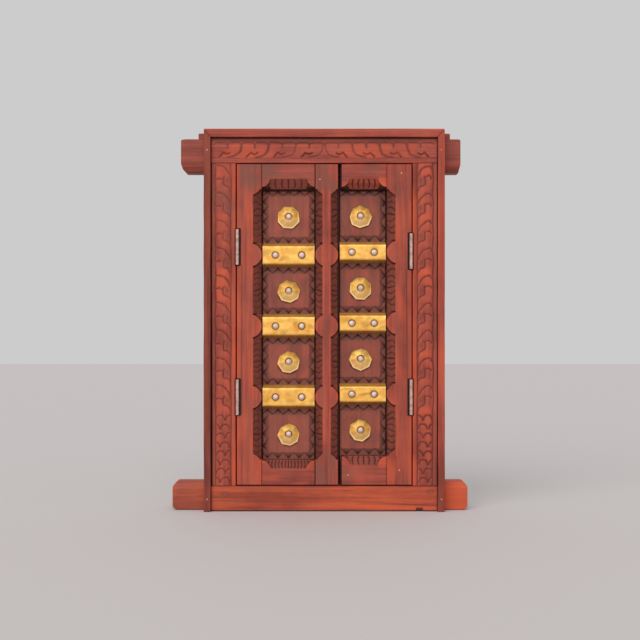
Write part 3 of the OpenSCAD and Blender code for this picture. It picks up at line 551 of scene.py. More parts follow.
cap = beam("X", batten_l[0][0] - CAP_OUT, batten_r[1][0] + CAP_OUT,
           [[HORN_FRONT, lintel_top - 1], [HORN_FRONT, lintel_box[1][2]],
            [FRAME_DEPTH, lintel_box[1][2]], [FRAME_DEPTH, lintel_top - 1]], 1.2, 45, 0.1, None, old_horn)
dress("lintel_carved", [face, core, *lintel_horns, cap], level_wood, "frame", "frame_wood", "lintel")

# Sill
# Foot of the frame, a plain thicker plank of hardwood tenoned to the jambs, with orange streaks that
# run out slantwise. Its horns run out behind the battens, and a low rear edge stops the leaves.
sill_wood = stained_wood("stained_hardwood_sill", "X", "#8E3B29", "#A64831", "#B85334")
SLANT = 0.055
BRIGHT_STREAK = 11.0
DARK_STREAK = 17.0
NOTCH = {"x": 140.5, "half_w": 5.0, "h": 5.0}
PLUGS = ((-133.0, 24.5), (155.5, 27.5))
PLUG_R = 3.0
sill_box = edges("sill")
sill_stop = sill_box[1][2]


def sill_horn(x, z, depth):
    """Marks of a sill's horn: the left one is greyed, the right one bright, and both get a painted contact
    shadow along the bottom.
    """
    seen = step(depth, 34, HORN_FRONT + 2)
    streaky = 0.85 + 0.25 * uneven(69, x, z + 0.1 * x, 60, 9)
    return {"worn": seen * streaky * step(x, 0, 100), "aged": 0.35 * seen * step(x, 0, -100),
            "hollow": 0.9 * step(z, 1.2, 0.3)}


up, along, A, B = grid(0, sill_top, 37, face_l, face_r, 270)
slant = A + SLANT * B
height = planed(57, A, B, 0.14, 14, 60) - arris(A, 1.6) - arris(sill_top - A, 1.0)
worn = 0.55 * step(uneven(58, slant, 0 * B, 26, 1), 0.1, 0.9) * step(B, -60, 60)
worn += 0.9 * bell(slant - BRIGHT_STREAK, 2.6) * step(B, -30, 70)
aged = 0.35 * step(uneven(59, slant, B, 20, 120), 0.3, 1.0)
hollow = 0.35 * bell(slant - DARK_STREAK, 0.9) * step(B, -20, 80) + 0.55 * np.exp(-(sill_top - A) / 0.7)
# Painted shade at both ends beside the battens, and a painted contact shadow along the bottom edge.
hollow += step(from_ends(B, face_l, face_r), 1.4, 0.6) + step(A, 2.6, 1.1)
notch = step(np.maximum(np.abs(B - NOTCH["x"]) - NOTCH["half_w"], A - NOTCH["h"]), 0.5, -0.5)
for plug_x, plug_z in PLUGS:
    off = np.hypot((B - plug_x) / 1.5, A - plug_z)
    aged += 0.6 * step(off, PLUG_R + 0.4, PLUG_R - 0.8)
    hollow += 0.35 * bell(off - PLUG_R, 0.6)
face = carved_strip("X", up, along, height - 1.2 * notch, (worn, aged, hollow + 0.8 * notch), HORN_FRONT + 1)
core = beam("X", face_l - UNDER, face_r + UNDER,
            [[HORN_FRONT, 0], [HORN_FRONT, sill_top], [REBATE, sill_top], [REBATE, sill_stop],
             [FRAME_DEPTH, sill_stop], [FRAME_DEPTH, 0]], 1.0, 51, 0.0)
horn_section = np.array([[HORN_FRONT, 0], [HORN_FRONT, sill_stop - 9], [HORN_FRONT + 4, sill_stop],
                         [FRAME_DEPTH, sill_stop], [FRAME_DEPTH, 0]])
sill_horns = horns(sill_box, 1, horn_section, ((5, 7, 5.0), (5, 7, 5.0)), 53, 0.1, sill_horn)
dress("sill_planed", [face, core, *sill_horns], sill_wood, "frame", "frame_wood", "sill")

# Edging battens
# Three thin strips of hardwood round the frame, 20 mm deep and 6 mm proud of its face, mitred at the top
# corners and nailed to the horns behind them. The left one is dark, the right one bright above.
BATTEN_FRONT = -6.0
SEAM_FROM = -3.5
top_box = edges("top_batten")


def in_corner(x, depth):
    """Share of the painted shade on a side batten's inner face, in the corner with the frame's face."""
    inner = np.minimum(np.abs(x - batten_l[1][0]), np.abs(x - batten_r[0][0]))
    return step(depth, SEAM_FROM - 1, 0) * step(inner, 1.0, 0.3) * step(depth, 3, 0)


def dark_batten(x, z, depth):
    """Marks of the left batten, brown all over and with painted shade where it meets the frame."""
    brown = 0.31 + 0.12 * step(z, 330, 120) - 0.2 * step(z, 50, 25)
    return {"aged": 0.1 + 0.15 * uneven(67, z, x, 120, 20), "hollow": brown + in_corner(x, depth)}


def bright_batten(x, z, depth):
    """Marks of the right batten, bright above, dark near the sill, and with painted shade where it meets the
    frame.
    """
    return {"worn": 0.3 * step(z, 90, 200) + 0.25 * uneven(68, z, x, 150, 20),
            "hollow": 0.45 * step(z, 120, 50) + in_corner(x, depth)}


def top_edge(x, z, depth):
    """Marks of the top batten: a painted highlight along its top and painted shade where it meets the lintel.
    """
    return {"worn": 0.4 * step(z, lintel_top + 7, lintel_top + 12),
            "hollow": step(depth, SEAM_FROM - 1, 0) * step(z, lintel_top + 4, lintel_top)}


for side, (low, high), shade, seed in (("left", batten_l, dark_batten, 61),
                                       ("right", batten_r, bright_batten, 62)):
    outer_x, inner_x = (low[0], high[0]) if side == "left" else (high[0], low[0])
    section = [[outer_x, BATTEN_FRONT], [inner_x, BATTEN_FRONT], [inner_x, SEAM_FROM], [inner_x, 2.0],
               [inner_x, HORN_FRONT], [outer_x, HORN_FRONT]]
    points, *skin = beam("Z", 0, high[2], section, 1.3, seed, 0.18, None, shade)
    mitre = high[2] - np.abs(points[:, 0] - outer_x) * TOP_BATTEN_T / (high[0] - low[0])
    points[:, 1] = points[:, 1] * mitre / high[2]
    dress(side + "_batten_planed", [(points, *skin)], upright_wood, "frame", "frame_wood", side + "_batten")
section = [[SEAM_FROM, lintel_top], [BATTEN_FRONT, lintel_top], [BATTEN_FRONT, top_box[1][2]],
           [HORN_FRONT, top_box[1][2]], [HORN_FRONT, lintel_top]]
points, *skin = beam("X", top_box[0][0], top_box[1][0], section, 1.3, 65, 0.1, None, top_edge)
middle = (top_box[0][0] + top_box[1][0]) / 2
half = (top_box[1][0] - top_box[0][0]) / 2
batten_w = batten_l[1][0] - batten_l[0][0]
short = np.clip((top_box[1][2] - points[:, 1]) / TOP_BATTEN_T, 0, 1) * batten_w
points[:, 0] = middle + (points[:, 0] - middle) * (half - short) / half
dress("top_batten_planed", [(points, *skin)], level_wood, "frame", "frame_wood", "top_batten")

# Backboards
# One hardwood board for each leaf, stained darker, that its other pieces are planted on. Each of its
# four fields has a border of triangular chips, and its meeting edge is bevelled so that the leaves
# swing past each other.
board_wood = stained_wood("stained_hardwood_board", "Z", "#86453A", "#904B3D", "#984F40", 0.95)
STRIP_T = 15.0
BOARD_BACK = 26.0
BOARD_CELL = 0.84
CHIP_BAND = 8.5
CHIP_PITCH = 15.8
CHIP_IN = 0.5
CHIP_D = 2.4
QUIRK = 1.6
QUIRK_D = 2.6
LIP_CLOSER = 0.195
# Width of the painted shade on the rear beside the meeting edge.
SLIT_SHADE_W = 3.0


def rows_of(side, beside="strap"):
    """Heights of a leaf's bars, and the lower and upper ends of its fields: they lie between the
    rails and the straps, or beside a stile between ledges as high as the left leaf's straps."""
    straps = [edges("%s_strap_%d" % (side, i)) for i in (1, 2, 3)]
    bars = [(low[2] + high[2]) / 2 for low, high in straps]
    low, high = straps[0] if beside == "strap" else edges("left_strap_1")
    half = (high[2] - low[2]) / 2
    lows = [edges(side + "_bottom_rail")[1][2], *[z + half for z in bars]]
    highs = [*[z - half for z in bars], edges(side + "_top_rail")[0][2]]
    return bars, list(zip(lows, highs))


def chip_rows(x0, x1, z0, z1, open_left):
    """The rows of chips round a field, each as a start, a heading, the way inwards and a length."""
    foot = z0 + CHIP_BAND + 2 * CHIP_IN
    level, upright = x1 - x0, z1 + z0 - 2 * foot
    rows = [((x0, z0), (1, 0), (0, 1), level), ((x0, z1), (1, 0), (0, -1), level),
            ((x1, foot), (0, 1), (-1, 0), upright), ((x0, foot), (0, 1), (1, 0), upright)]
    return rows[:3] if open_left else rows


def chip_border(A, B, rows):
    """Depth of the chips of one field, and the zigzag cuts beside them: in each triangle, whose base
    lies inwards and whose point lies on the field's edge, the floor falls evenly to the point."""
    depth, strokes = np.zeros(A.shape), []
    for start, heading, inwards, run in rows:
        count = max(2, round(run / CHIP_PITCH))
        place = (A - start[0]) * heading[0] + (B - start[1]) * heading[1]
        inset = (A - start[0]) * inwards[0] + (B - start[1]) * inwards[1]
        off = np.abs((place / run * count) % 1 - 0.5) * run / count
        share = (inset - CHIP_IN) / CHIP_BAND
        half = 0.47 * run / count * share
        inside = (place > 0) & (place < run) & (share > 0) & (share < 1)
        depth = depth + inside * step(half - off, -0.3, 0.5) * CHIP_D * (1 - share)
        k = np.arange(2 * count + 1)
        reach = np.where(k % 2 == 0, CHIP_BAND, 2 * CHIP_IN)
        strokes.append(np.array(start) + np.outer(k * run / (2 * count), heading) + np.outer(reach, inwards))
    return depth, strokes


for side, sign, bevel, seed in (("left", 1, 1.7, 71), ("right", -1, 2.35, 83)):
    board_low, board_high = edges(side + "_backboard")
    rail_low, rail_high = edges(side + "_top_rail")
    panel_l, panel_r = rail_low[0], rail_high[0]
    x0, x1 = board_low[0] - LIP_CLOSER * (sign < 0), board_high[0] + LIP_CLOSER * (sign > 0)
    fine_from = panel_l if sign > 0 else x0
    across = np.unique(np.concatenate([[x0], np.arange(fine_from, panel_r, BOARD_CELL), [panel_r, x1]]))
    up = np.linspace(stile_low[2], stile_high[2], 560)
    A, B = np.meshgrid(across, up)
    strokes, depth, inset = [], np.zeros(A.shape), np.full(A.shape, -1.0)
    for z0, z1 in rows_of(side)[1]:
        chips, cuts = chip_border(A, B, chip_rows(panel_l, panel_r, z0, z1, sign < 0))
        depth += chips
        strokes += cuts
        beside = np.minimum(A - panel_l + (CHIP_BAND if sign < 0 else 0), panel_r - A)
        inset = np.maximum(inset, np.minimum(beside, from_ends(B, z0, z1)))
    gap = cut_distance(across, up, strokes)
    on_panel = step(from_ends(A, fine_from, panel_r), -0.1, 0.1)
    in_border = step(CHIP_BAND + CHIP_IN - inset, -0.8, 0.2)
    quirk = np.maximum(step(A - fine_from, QUIRK, 0.6 * QUIRK), step(panel_r - A, QUIRK, 0.6 * QUIRK))
    quirk = np.maximum(quirk, step(rail_low[2] - B, 2.2, 1.2) * (B < rail_low[2] + 1)) * on_panel
    height = -depth - 0.8 * np.exp(-gap / 0.7) * in_border + planed(seed, A, B, 0.12, 25, 50)
    height = (np.minimum(height, 0) * (1 - quirk) - QUIRK_D * quirk) * on_panel
    hollow = 0.22 * in_border + 0.25 * step(depth, 0.2, 1.6) + 0.5 * bell(gap, 0.8) * in_border
    # The quirk grooves along the fields and under the top rail are darkened with painted shade.
    hollow += quirk * (0.85 - 0.5 * step(inset, -0.5, 0.3)) + 0.09 * (sign < 0)
    hollow += 0.12 * step(uneven(seed + 1, A, B, 40, 60), 0.1, 0.8)
    worn = 0.22 * step(uneven(seed + 2, A, B, 26, 40), 0.1, 0.9) * (1 - in_border)
    aged = 0.5 * in_border + 0.25 * step(uneven(seed + 4, A, B, 30, 50), 0.0, 0.8)
    for i in (1, 2, 3, 4):
        low, high = edges("%s_rosette_%d" % (side, i))
        off_x, off_z = A - (low[0] + high[0]) / 2, B - (low[2] + high[2]) / 2
        ring = np.hypot(off_x, off_z + 1.2) - (high[0] - low[0]) / 2
        # Painted shadow on the board below the lower edge of each rosette.
        hollow += 0.75 * bell(ring, 1.6) * step(off_z, -2, -12)
    # The lip at the meeting edge and a band of the rear bevel beside it get painted shade, for the dark slit
    # between the leaves.
    lip_shade = (x1 if sign > 0 else x0) == A
    marks = marked(A.shape, worn, aged, np.maximum(hollow, 0.9 * lip_shade))
    front_row = np.stack([A, B, STRIP_T - height], axis=-1)
    rear_l, rear_r = x0 + bevel * (sign < 0), x1 - bevel * (sign > 0)
    rear = np.array([rear_r, rear_r - SLIT_SHADE_W, rear_l + SLIT_SHADE_W, rear_l])
    rear = np.stack(np.broadcast_arrays(rear[None], up[:, None], BOARD_BACK), axis=-1)
    rear_marks = marked((len(up), 4), 0, 0.2, [0.35, 0, 0, 0.35])
    board = loft(np.concatenate([front_row, rear], axis=1), np.concatenate([marks, rear_marks], axis=1))
    dress(side + "_backboard_carved", [board], board_wood, side + "_leaf", "board_wood", side + "_backboard")

# Stiles
# Upright strips of hardwood, planted on the boards with brads. Their arrises are cut back to carved
# chamfers beside the fields and to ledges beside the cross bars, with round lobes left between them.
CHAMFER_D = 9.0
LEDGE_D = 5.0
LOBE_R = 16.0
END_LOBE_IN = 8.0
STILE_CHAMFER = 12.5
MEETING_CHAMFER = 10.5
EDGE_LINE = 6.8
HOUSING = {"gap": 1.0, "plate_w": 3.13, "plate_d": 13.3, "knuckle_w": 4.13, "knuckle_d": 1.7}


def chamfer_cut(edge, width, way, bow):
    """A cut across a chamfer of some width from its edge: for t from -1 to 1, its places across and its
    sag, which is the bow times the slope's length times 1 less the root of 1 - (0.4t)^2."""
    t = np.linspace(-1, 1, 9)
    sag = bow * np.hypot(width, CHAMFER_D) * (1 - np.sqrt(1 - (0.4 * t) ** 2))
    return t, edge + way * (0.5 + 0.36 * t) * width, sag


def chamfer_strokes(edge, width, way, fields, chance):
    """Cuts across the carved chamfers of one long edge: in each field a straight one in the middle
    and three bowed ones above and below it, bowed away from the middle."""
    t, across, sag = chamfer_cut(edge, width, way, 2.0)
    strokes = []
    for z0, z1 in fields:
        for k in range(-3, 4):
            lean = chance.normal(0, 1.2) * t
            rise = (z0 + z1) / 2 + k * (z1 - z0) / 8 - np.sign(k) * sag + lean + chance.normal(0, 0.6)
            strokes.append(np.stack([across, rise], axis=1))
    return strokes


def carved_edges(A, B, chamfers, lobe_x, bars, fields):
    """Depth and share of the carved ground of a stile, the share of the edge it lies in, distance
    from the lobes and share of the fields: beside the plain face and lobes the ground is a chamfer
    in the fields and a ledge beside the bars, and steep sides stand round the lobes."""
    steep = 0.9
    rail_top, rail_low = fields[0][0], fields[-1][1]
    lobe_zs = [rail_top - END_LOBE_IN, *bars, rail_low + END_LOBE_IN]
    lobe = np.min([np.hypot(A - lobe_x, B - z) - LOBE_R for z in lobe_zs], axis=0)
    off_rail = from_ends(B, rail_top, rail_low)
    in_field = np.max([step(from_ends(B, z0, z1), -0.2, 0.6) for z0, z1 in fields], axis=0)
    depth, ground, beside = np.zeros(A.shape), np.zeros(A.shape), np.zeros(A.shape)
    for edge, width, way in chamfers:
        off = way * (A - edge)
        chamfer = np.clip(off / width, 0, 1) * CHAMFER_D
        low = in_field * chamfer + (1 - in_field) * LEDGE_D * step(off, 0, steep)
        clear = step(np.minimum(lobe, off_rail), 0, steep)
        depth = np.maximum(depth, low * clear)
        ground = np.maximum(ground, step(off, 0, 1.2) * clear)
        beside = np.maximum(beside, step(off, -1, 1) * step(off_rail, -1, 1))
    return depth, ground, beside, lobe, in_field


for name, sign, dirt, bold, redness, seed in (("left_hinge_stile", 1, 0.5, 0.5, 0.3, 91),
                                              ("right_hinge_stile", -1, 0.36, 1.0, 0.6, 101),
                                              ("left_meeting_stile", 0, 0.44, 0.8, 0.15, 111)):
    side = name.split("_")[0]
    low, high = edges(name)
    bars, fields = rows_of(side, "ledge")
    across, up, A, B = grid(low[0], high[0], 57, low[2], high[2], 600)
    if sign == 0:
        chamfers = [(low[0] + MEETING_CHAMFER, MEETING_CHAMFER, -1),
                    (high[0] - MEETING_CHAMFER, MEETING_CHAMFER, 1)]
        lobe_x = (low[0] + high[0]) / 2
    else:
        inner = high[0] if sign > 0 else low[0]
        chamfers = [(inner - sign * STILE_CHAMFER, STILE_CHAMFER, sign)]
        lobe_x = inner - sign * LOBE_R
    depth, ground, beside, lobe, in_field = carved_edges(A, B, chamfers, lobe_x, bars, fields)
    chance = np.random.default_rng(seed)
    strokes = sum([chamfer_strokes(*chamfer, fields, chance) for chamfer in chamfers], [])
    gap = cut_distance(across, up, strokes)
    cut = ground * in_field
    edge = from_ends(A, low[0], high[0])
    height = -depth - cut * 1.3 * np.exp(-gap / 0.9) + planed(seed, A, B, 0.12, 18, 45)
    height = height - arris(edge, 1.2) - arris(from_ends(B, low[2], high[2]), 0.7)
    middle_cut = np.exp(-np.min([np.abs(B - (z0 + z1) / 2) for z0, z1 in fields], axis=0) / 3)
    patchy = 0.65 + 0.35 * uneven(seed + 6, A, B, 30, 22)
    stroke = np.clip(bold * patchy + 0.4 * middle_cut, 0, 1) * bell(gap, 1.15)
    hollow = cut * (dirt + (0.95 - dirt) * stroke)
    # Painted shade on the ledges, at the foot of the chamfers and round the lobes.
    hollow += 0.58 * ground * (1 - in_field) + 0.5 * cut * step(CHAMFER_D - depth, 1.2, 0.2)
    hollow += 0.55 * ground * np.exp(-lobe / 1.2)
    # Painted highlights along the stile's edges, round the lobes and along the brink of the chamfers, with
    # some wear.
    worn = 0.8 * np.exp(-edge / 1.6) * (1 - ground)
    worn += (0.6 if sign > 0 else 0.3) * beside * np.exp(-np.abs(lobe) / 1.0) * (lobe < 0.1)
    brink = np.max([bell(way * (A - line) + 0.9, 0.9) for line, _, way in chamfers], axis=0)
    worn += 0.7 * brink * in_field * step(uneven(seed + 7, A, B, 60, 110), -0.2, 0.6)
    worn += redness * (1 - ground) * step(uneven(seed + 3, A, B, 26, 90), -0.3, 0.8)
    aged = 0.5 * (1 - ground) * step(uneven(seed + 4, A, B, 12, 160), 0.0, 1.0) + 0.4 * cut
    if sign == 0:
        ends = step(np.minimum(high[2] - B, B - low[2] - 10), 44, 34)
        aged += 0.6 * ends * (1 - ground) * step(uneven(seed + 5, A, B, 30, 50), -1.0, 0.4)
    if sign > 0:
        top = step(high[2] - B, 46, 16) * step(A - low[0], 1, 7)
        aged += 0.8 * top * step(uneven(seed + 5, A, B, 40, 30), -1.6, -0.2)
        worn *= 1 - 0.85 * top
    if sign != 0:
        from_hinge = np.abs(A - (low[0] if sign > 0 else high[0]))
        flaps = [edges(side + flap) for flap in ("_lower_leaf_flap", "_upper_leaf_flap")]
        between = step(from_ends(B, flaps[0][0][2], flaps[1][0][2]), -4, 4)
        hollow += 0.55 * between * bell(from_hinge - EDGE_LINE - 0.3 * np.sin(B / 40), 0.8)
        for flap_low, flap_high in flaps:
            within = from_ends(B, flap_low[2], flap_high[2]) + HOUSING["gap"]
            for part in ("knuckle", "plate"):
                room = step(within, -0.35, 0.35) * step(HOUSING[part + "_w"] - from_hinge, -0.3, 0.3)
                height = height * (1 - room) - HOUSING[part + "_d"] * room
            # Painted shadow beside each hinge's knuckle.
            by_knuckle = step(HOUSING["knuckle_w"] - from_hinge, -2.3, -1.6)
            hollow = np.maximum(hollow, step(within, -0.6, 0) * by_knuckle)
    strip = carved_strip("Z", across, up, height, (worn, aged, hollow), STRIP_T, 0.3)
    dress(name + "_carved", [strip], upright_wood, side + "_leaf", "frame_wood", name)


# Rails and cross bars
# Short strips of hardwood between the stiles, planted on the board at the top and bottom of each leaf.
# Each has a carved chamfer that stops against a quarter disc at either end. Three plain bevelled bars
# cross each leaf under its straps.
def stays(cad_node, material):
    """Gives a CAD node that stays as it was drawn its material."""
    cad_node.data.materials.clear()
    cad_node.data.materials.append(material)


for name, way, width, disc_r, dirt, seed in (("left_top_rail", -1, 14.5, 11.5, 0.26, 121),
                                             ("left_bottom_rail", 1, 13.0, 12.0, 0.3, 127),
                                             ("right_top_rail", -1, 14.5, 11.5, 0.08, 131),
                                             ("right_bottom_rail", 1, 13.0, 12.0, 0.3, 137)):
    side = name.split("_")[0]
    low, high = edges(name)
    up, along, A, B = grid(low[2], high[2], 67, low[0], high[0], 121)
    line = high[2] - width if way > 0 else low[2] + width
    off = way * (A - line)
    disc = np.min([np.hypot(A - line, B - x) - disc_r for x in (low[0], high[0])], axis=0)
    clear = step(disc, 0, 0.9)
    ground = step(off, 0, 1.2) * clear
    depth = np.clip(off / width, 0, 1) * CHAMFER_D * clear
    _, rise, sag = chamfer_cut(line, width, way, 0.9)
    middle, pitch = (low[0] + high[0]) / 2, (high[0] - low[0]) / 8
    places = np.arange(-3, 3.5, 0.5 if name == "left_bottom_rail" else 1)
    strokes = [np.stack([rise, middle + k * pitch - np.sign(k) * sag], axis=1) for k in places]
    gap = cut_distance(up, along, strokes)
    ends = from_ends(B, low[0], high[0])
    height = -depth - ground * 1.5 * np.exp(-gap / 1.0) + planed(seed, A, B, 0.12, 18, 45)
    height = height - arris(np.minimum(from_ends(A, low[2], high[2]), ends), 0.8)
    # Painted shadow under the discs of the top rails, and painted shade at the chamfer's foot and round the
    # discs.
    below = step(off, disc_r - 1.5, disc_r + 1) * step(ends, disc_r + 3, disc_r - 2) * (way < 0)
    hollow = ground * (dirt + (0.85 - dirt) * bell(gap, 0.85)) + 0.9 * ground * below
    hollow += 0.5 * ground * step(width - off, 1.4, 0.3) + 0.4 * ground * np.exp(-disc / 1.2)
    from_stile = B - low[0] if side == "left" else high[0] - B
    hollow += 0.5 * np.exp(-from_stile / 0.9) + step(high[0] - low[0] - from_stile, 1.7, 0.9)
    worn = 0.4 * (1 - ground) * step(uneven(seed + 2, A, B, 30, 60), 0.1, 0.9)
    # A painted highlight along the edges of the discs.
    worn += 0.5 * (1 - ground) * np.exp(-np.abs(disc) / 1.2) * (off > 0)
    aged = 0.5 * (1 - ground) * step(uneven(seed + 1, A, B, 40, 60), 0.0, 0.9) + 0.4 * dirt * ground
    if side == "right":
        worn += 0.75 * step(disc, 0.4, -0.4) * step(off, -5, 1) * (B > middle)
    if name == "right_top_rail":
        worn += 0.7 * ground * step(gap, 0.8, 2.2) * step(off, 9, 3)
    if name == "left_top_rail":
        aged += 0.3 + 0.5 * step(B - low[0], 30, 4) * step(line - A, 8, -6)
        worn *= 0.4
    strip = carved_strip("X", up, along, height, (worn, aged, hollow), STRIP_T, 0.3)
    dress(name + "_carved", [strip], level_wood, side + "_leaf", "frame_wood", name)
for side in ("left", "right"):
    for i in (1, 2, 3):
        stays(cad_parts["%s_bar_%d" % (side, i)], level_wood)

# Brass straps
# Sheet brass, 0.8 mm thick, folded by hand over the bevelled cross bars and nailed. It is aged to
# a warm gold, with brown tarnish along the edges and round the nails, and a painted reflection
# darkens its bevels.
BRASS_T = 0.8
STRAP_D = 5.2
STRAP_BEVEL = 4.5
DOME_R = 3.75
NAIL_RING = 0.9
DISH_R = 4.6
END_SLANT = 0.78


def blotched_metal(name, bright, dull, blotch, detail, dull_to, roughness, metallic=0.7):
    """A metal shaded from dull to bright by a noise of blotches, sized in mm, and rougher where it is
    dull. Returns the material, its tree and shader, and the sockets of place and colour."""
    material, tree, shader = new_material(name)
    place = node(tree, "ShaderNodeTexCoord").outputs["Object"]
    blotches = node(tree, "ShaderNodeTexNoise", {"Vector": place, "Scale": 1 / (blotch * MM),
                                                 "Detail": detail, "Roughness": 0.6}).outputs["Fac"]
    colour = node(tree, "ShaderNodeValToRGB", {"Fac": blotches},
                  stops=((dull_to, dull), (0.6, bright))).outputs["Color"]
    rough = node(tree, "ShaderNodeMapRange", {"Value": blotches, "From Min": 0.3, "From Max": 0.7,
                                              "To Min": roughness + 0.1, "To Max": roughness})
    wire(shader, {"Base Color": colour, "Metallic": metallic, "Roughness": rough.outputs["Result"]})
    return material, tree, shader, place, colour


# Hammered sheet brass: the eye sees cloudy tarnish 14 mm wide, fine rubbing marks of about 1 mm in the
# surface, brown dirt in the hollows, dark brown painted shade and reflection, and a pale gold where
# rubbing wore it or a painted highlight falls.
brass, tree, shader, place, colour = blotched_metal("aged_sheet_brass", "#F4C065", "#D99A42",
                                                    14, 4.0, 0.3, 0.5, 0.75)
rubs = node(tree, "ShaderNodeTexNoise",
            {"Vector": place, "Scale": 1 / (1.2 * MM), "Detail": 2.0, "Roughness": 0.5})
bump = node(tree, "ShaderNodeBump", {"Strength": 0.12, "Distance": 0.2 * MM, "Height": rubs.outputs["Fac"]})
colour = tinted(tree, colour, {"hollow": ("#3A240C", 1.0), "worn": ("#FFDDA4", 1.0)})
wire(shader, {"Base Color": colour, "Normal": bump.outputs["Normal"]})


def sheet_piece(name, points, worn, hollow, side, wrap=False):
    """A piece of sheet over a grid of points: it faces the front, its thickness lies behind it, and
    with wrap its last column joins its first."""
    n, m = points.shape[:2]
    here = np.arange(n * m).reshape(n, m)
    if wrap:
        here = np.concatenate([here, here[:, :1]], axis=1)
    quads = np.stack([here[:-1, :-1], here[:-1, 1:], here[1:, 1:], here[1:, :-1]], axis=-1).reshape(-1, 4)
    points = points.reshape(-1, 3)
    normal = np.cross(points[quads[:, 1]] - points[quads[:, 0]], points[quads[:, 3]] - points[quads[:, 0]])
    if normal[:, 2].sum() < 0:
        quads = quads[:, ::-1]
    marks = marked(hollow.shape, worn, 0, hollow).reshape(-1, 3)
    piece = dress(name + "_sheet", [(points, quads, np.zeros((0, 3), int), marks)], brass, side + "_leaf",
                  "brass", name)
    sheet = piece.modifiers.new("sheet", "SOLIDIFY")
    sheet.thickness = BRASS_T * MM
    sheet.offset = -1


for side, seed in (("left", 201), ("right", 231)):
    nails_low, nails_high = edges(side + "_strap_nails")
    nail_xs = (nails_low[0] + DOME_R, nails_high[0] - DOME_R)
    for i in (1, 2, 3):
        name = "%s_strap_%d" % (side, i)
        low, high = edges(name)
        half = (high[2] - low[2]) / 2
        middle = (low + high) / 2
        fold, _ = rounded([[STRIP_T, -half], [STRAP_D, -half + STRAP_BEVEL], [STRAP_D, half - STRAP_BEVEL],
                           [STRIP_T, half]], 1.6, 7)
        fold = np.concatenate([[[STRIP_T, -half]], fold[4:-4], [[STRIP_T, half]]])
        length = np.concatenate([[0], np.cumsum(np.hypot(*np.diff(fold, axis=0).T))])
        s = np.linspace(0, length[-1], 44)
        fold = np.stack([np.interp(s, length, fold[:, 0]), np.interp(s, length, fold[:, 1])], axis=1)
        X, Z = np.meshgrid(np.linspace(low[0], high[0], 84), fold[:, 1] + middle[2])
        D = np.broadcast_to(fold[:, :1], X.shape)
        off = np.min([np.hypot(X - x, Z - middle[2]) for x in nail_xs], axis=0)
        flat = step(D, 9, STRAP_D + 0.2)
        bent = np.abs(0.2 * uneven(seed + i, X, Z, 24, 18)) * flat
        dish = 0.35 * bell(off, DISH_R) * flat
        if side == "right":
            share = (high[0] - X) / (high[0] - low[0])
            X = X + END_SLANT * share * (STRIP_T - D) / (STRIP_T - STRAP_D)
        rim = from_ends(X, X.min(), X.max())
        stain = step(uneven(seed + 10 + i, X, Z, 30, 16), 0.3, 1.2)
        # The bevels are darkened, the lower one more: a painted reflection of the darker wood round them.
        bevel = step(D, STRAP_D + 0.5, STRAP_D + 2.5) * (0.25 + 0.15 * (Z < middle[2]))
        hollow = bell(off - DOME_R - NAIL_RING, 0.9) + bevel + 0.25 * stain * flat
        worn = 0.4 * np.exp(-rim / 1.2) * flat
        sheet_piece(name, np.stack([X, Z, D + bent + dish], axis=-1), worn, hollow, side)

# Rosettes
# Octagons cut from the same sheet by hand, no two alike, raised to a seat for one dome nail each
# and nailed in the middle of the fields.
ROSETTE_R = 17.0
ROSETTE_TURN = {"left": (5, 10, 8, 22), "right": (15, 2, 22, 0)}
SAG = 1.0
ROSETTE_H = 4.0
SEAT_R = 6.0
for side, seed in (("left", 301), ("right", 331)):
    for i in (1, 2, 3, 4):
        name = "%s_rosette_%d" % (side, i)
        low, high = edges(name)
        middle = (low + high) / 2
        chance = np.random.default_rng(seed + i)
        corner = np.append(chance.normal(0, 2.5, 8), 0) + 45 * np.arange(9) + ROSETTE_TURN[side][i - 1]
        corner = np.radians(corner)
        corner[8] = corner[0] + 2 * np.pi
        reach = ROSETTE_R * (1 - np.abs(chance.normal(0, 0.04, 9)))
        reach[8] = reach[0]
        turn = np.linspace(corner[0], corner[8], 81)[:-1]
        k = np.clip(np.searchsorted(corner, turn, side="right") - 1, 0, 7)
        x0, z0 = reach[k] * np.cos(corner[k]), reach[k] * np.sin(corner[k])
        x1, z1 = reach[k + 1] * np.cos(corner[k + 1]), reach[k + 1] * np.sin(corner[k + 1])
        rim = (x0 * z1 - x1 * z0) / (np.cos(turn) * (z1 - z0) - np.sin(turn) * (x1 - x0))
        share = np.concatenate([[0.02], np.linspace(0.1, 1, 19)])[:, None]
        R = share * rim[None]
        seat = SEAT_R / ROSETTE_R
        rise = (ROSETTE_H - 0.1) * (1 - np.clip((share - seat) / (1 - seat), 0, 1) ** 1.35)
        rise = rise - 0.7 * bell(R, DISH_R) + 0.25 * uneven(seed + i, turn, 0 * turn, 3.1, 1)[None] * share
        depth = STRIP_T - np.clip(rise, BRASS_T + 0.05, ROSETTE_H)
        X, Z = R * np.cos(turn), R * np.sin(turn)
        points = np.stack([middle[0] + X, middle[2] + Z - SAG * share, depth], axis=-1)
        # Painted shade darkens the upper part, most at its upper rim, and a painted highlight lightens the
        # lower part; a dark ring lies round the nail.
        hollow = bell(R - DOME_R - NAIL_RING, 0.9) + 0.4 * step(Z, 0, 14)
        hollow += 0.35 * step(Z, -2, 8) * np.exp(-(rim[None] - R) / 2)
        hollow += 0.05 + 0.1 * uneven(seed + 9 + i, X, Z, 14, 14)
        worn = step(Z, 2, -9) * (0.35 + 0.45 * np.exp(-(rim[None] - R) / 1.5))
        sheet_piece(name, points, worn, hollow, side, wrap=True)

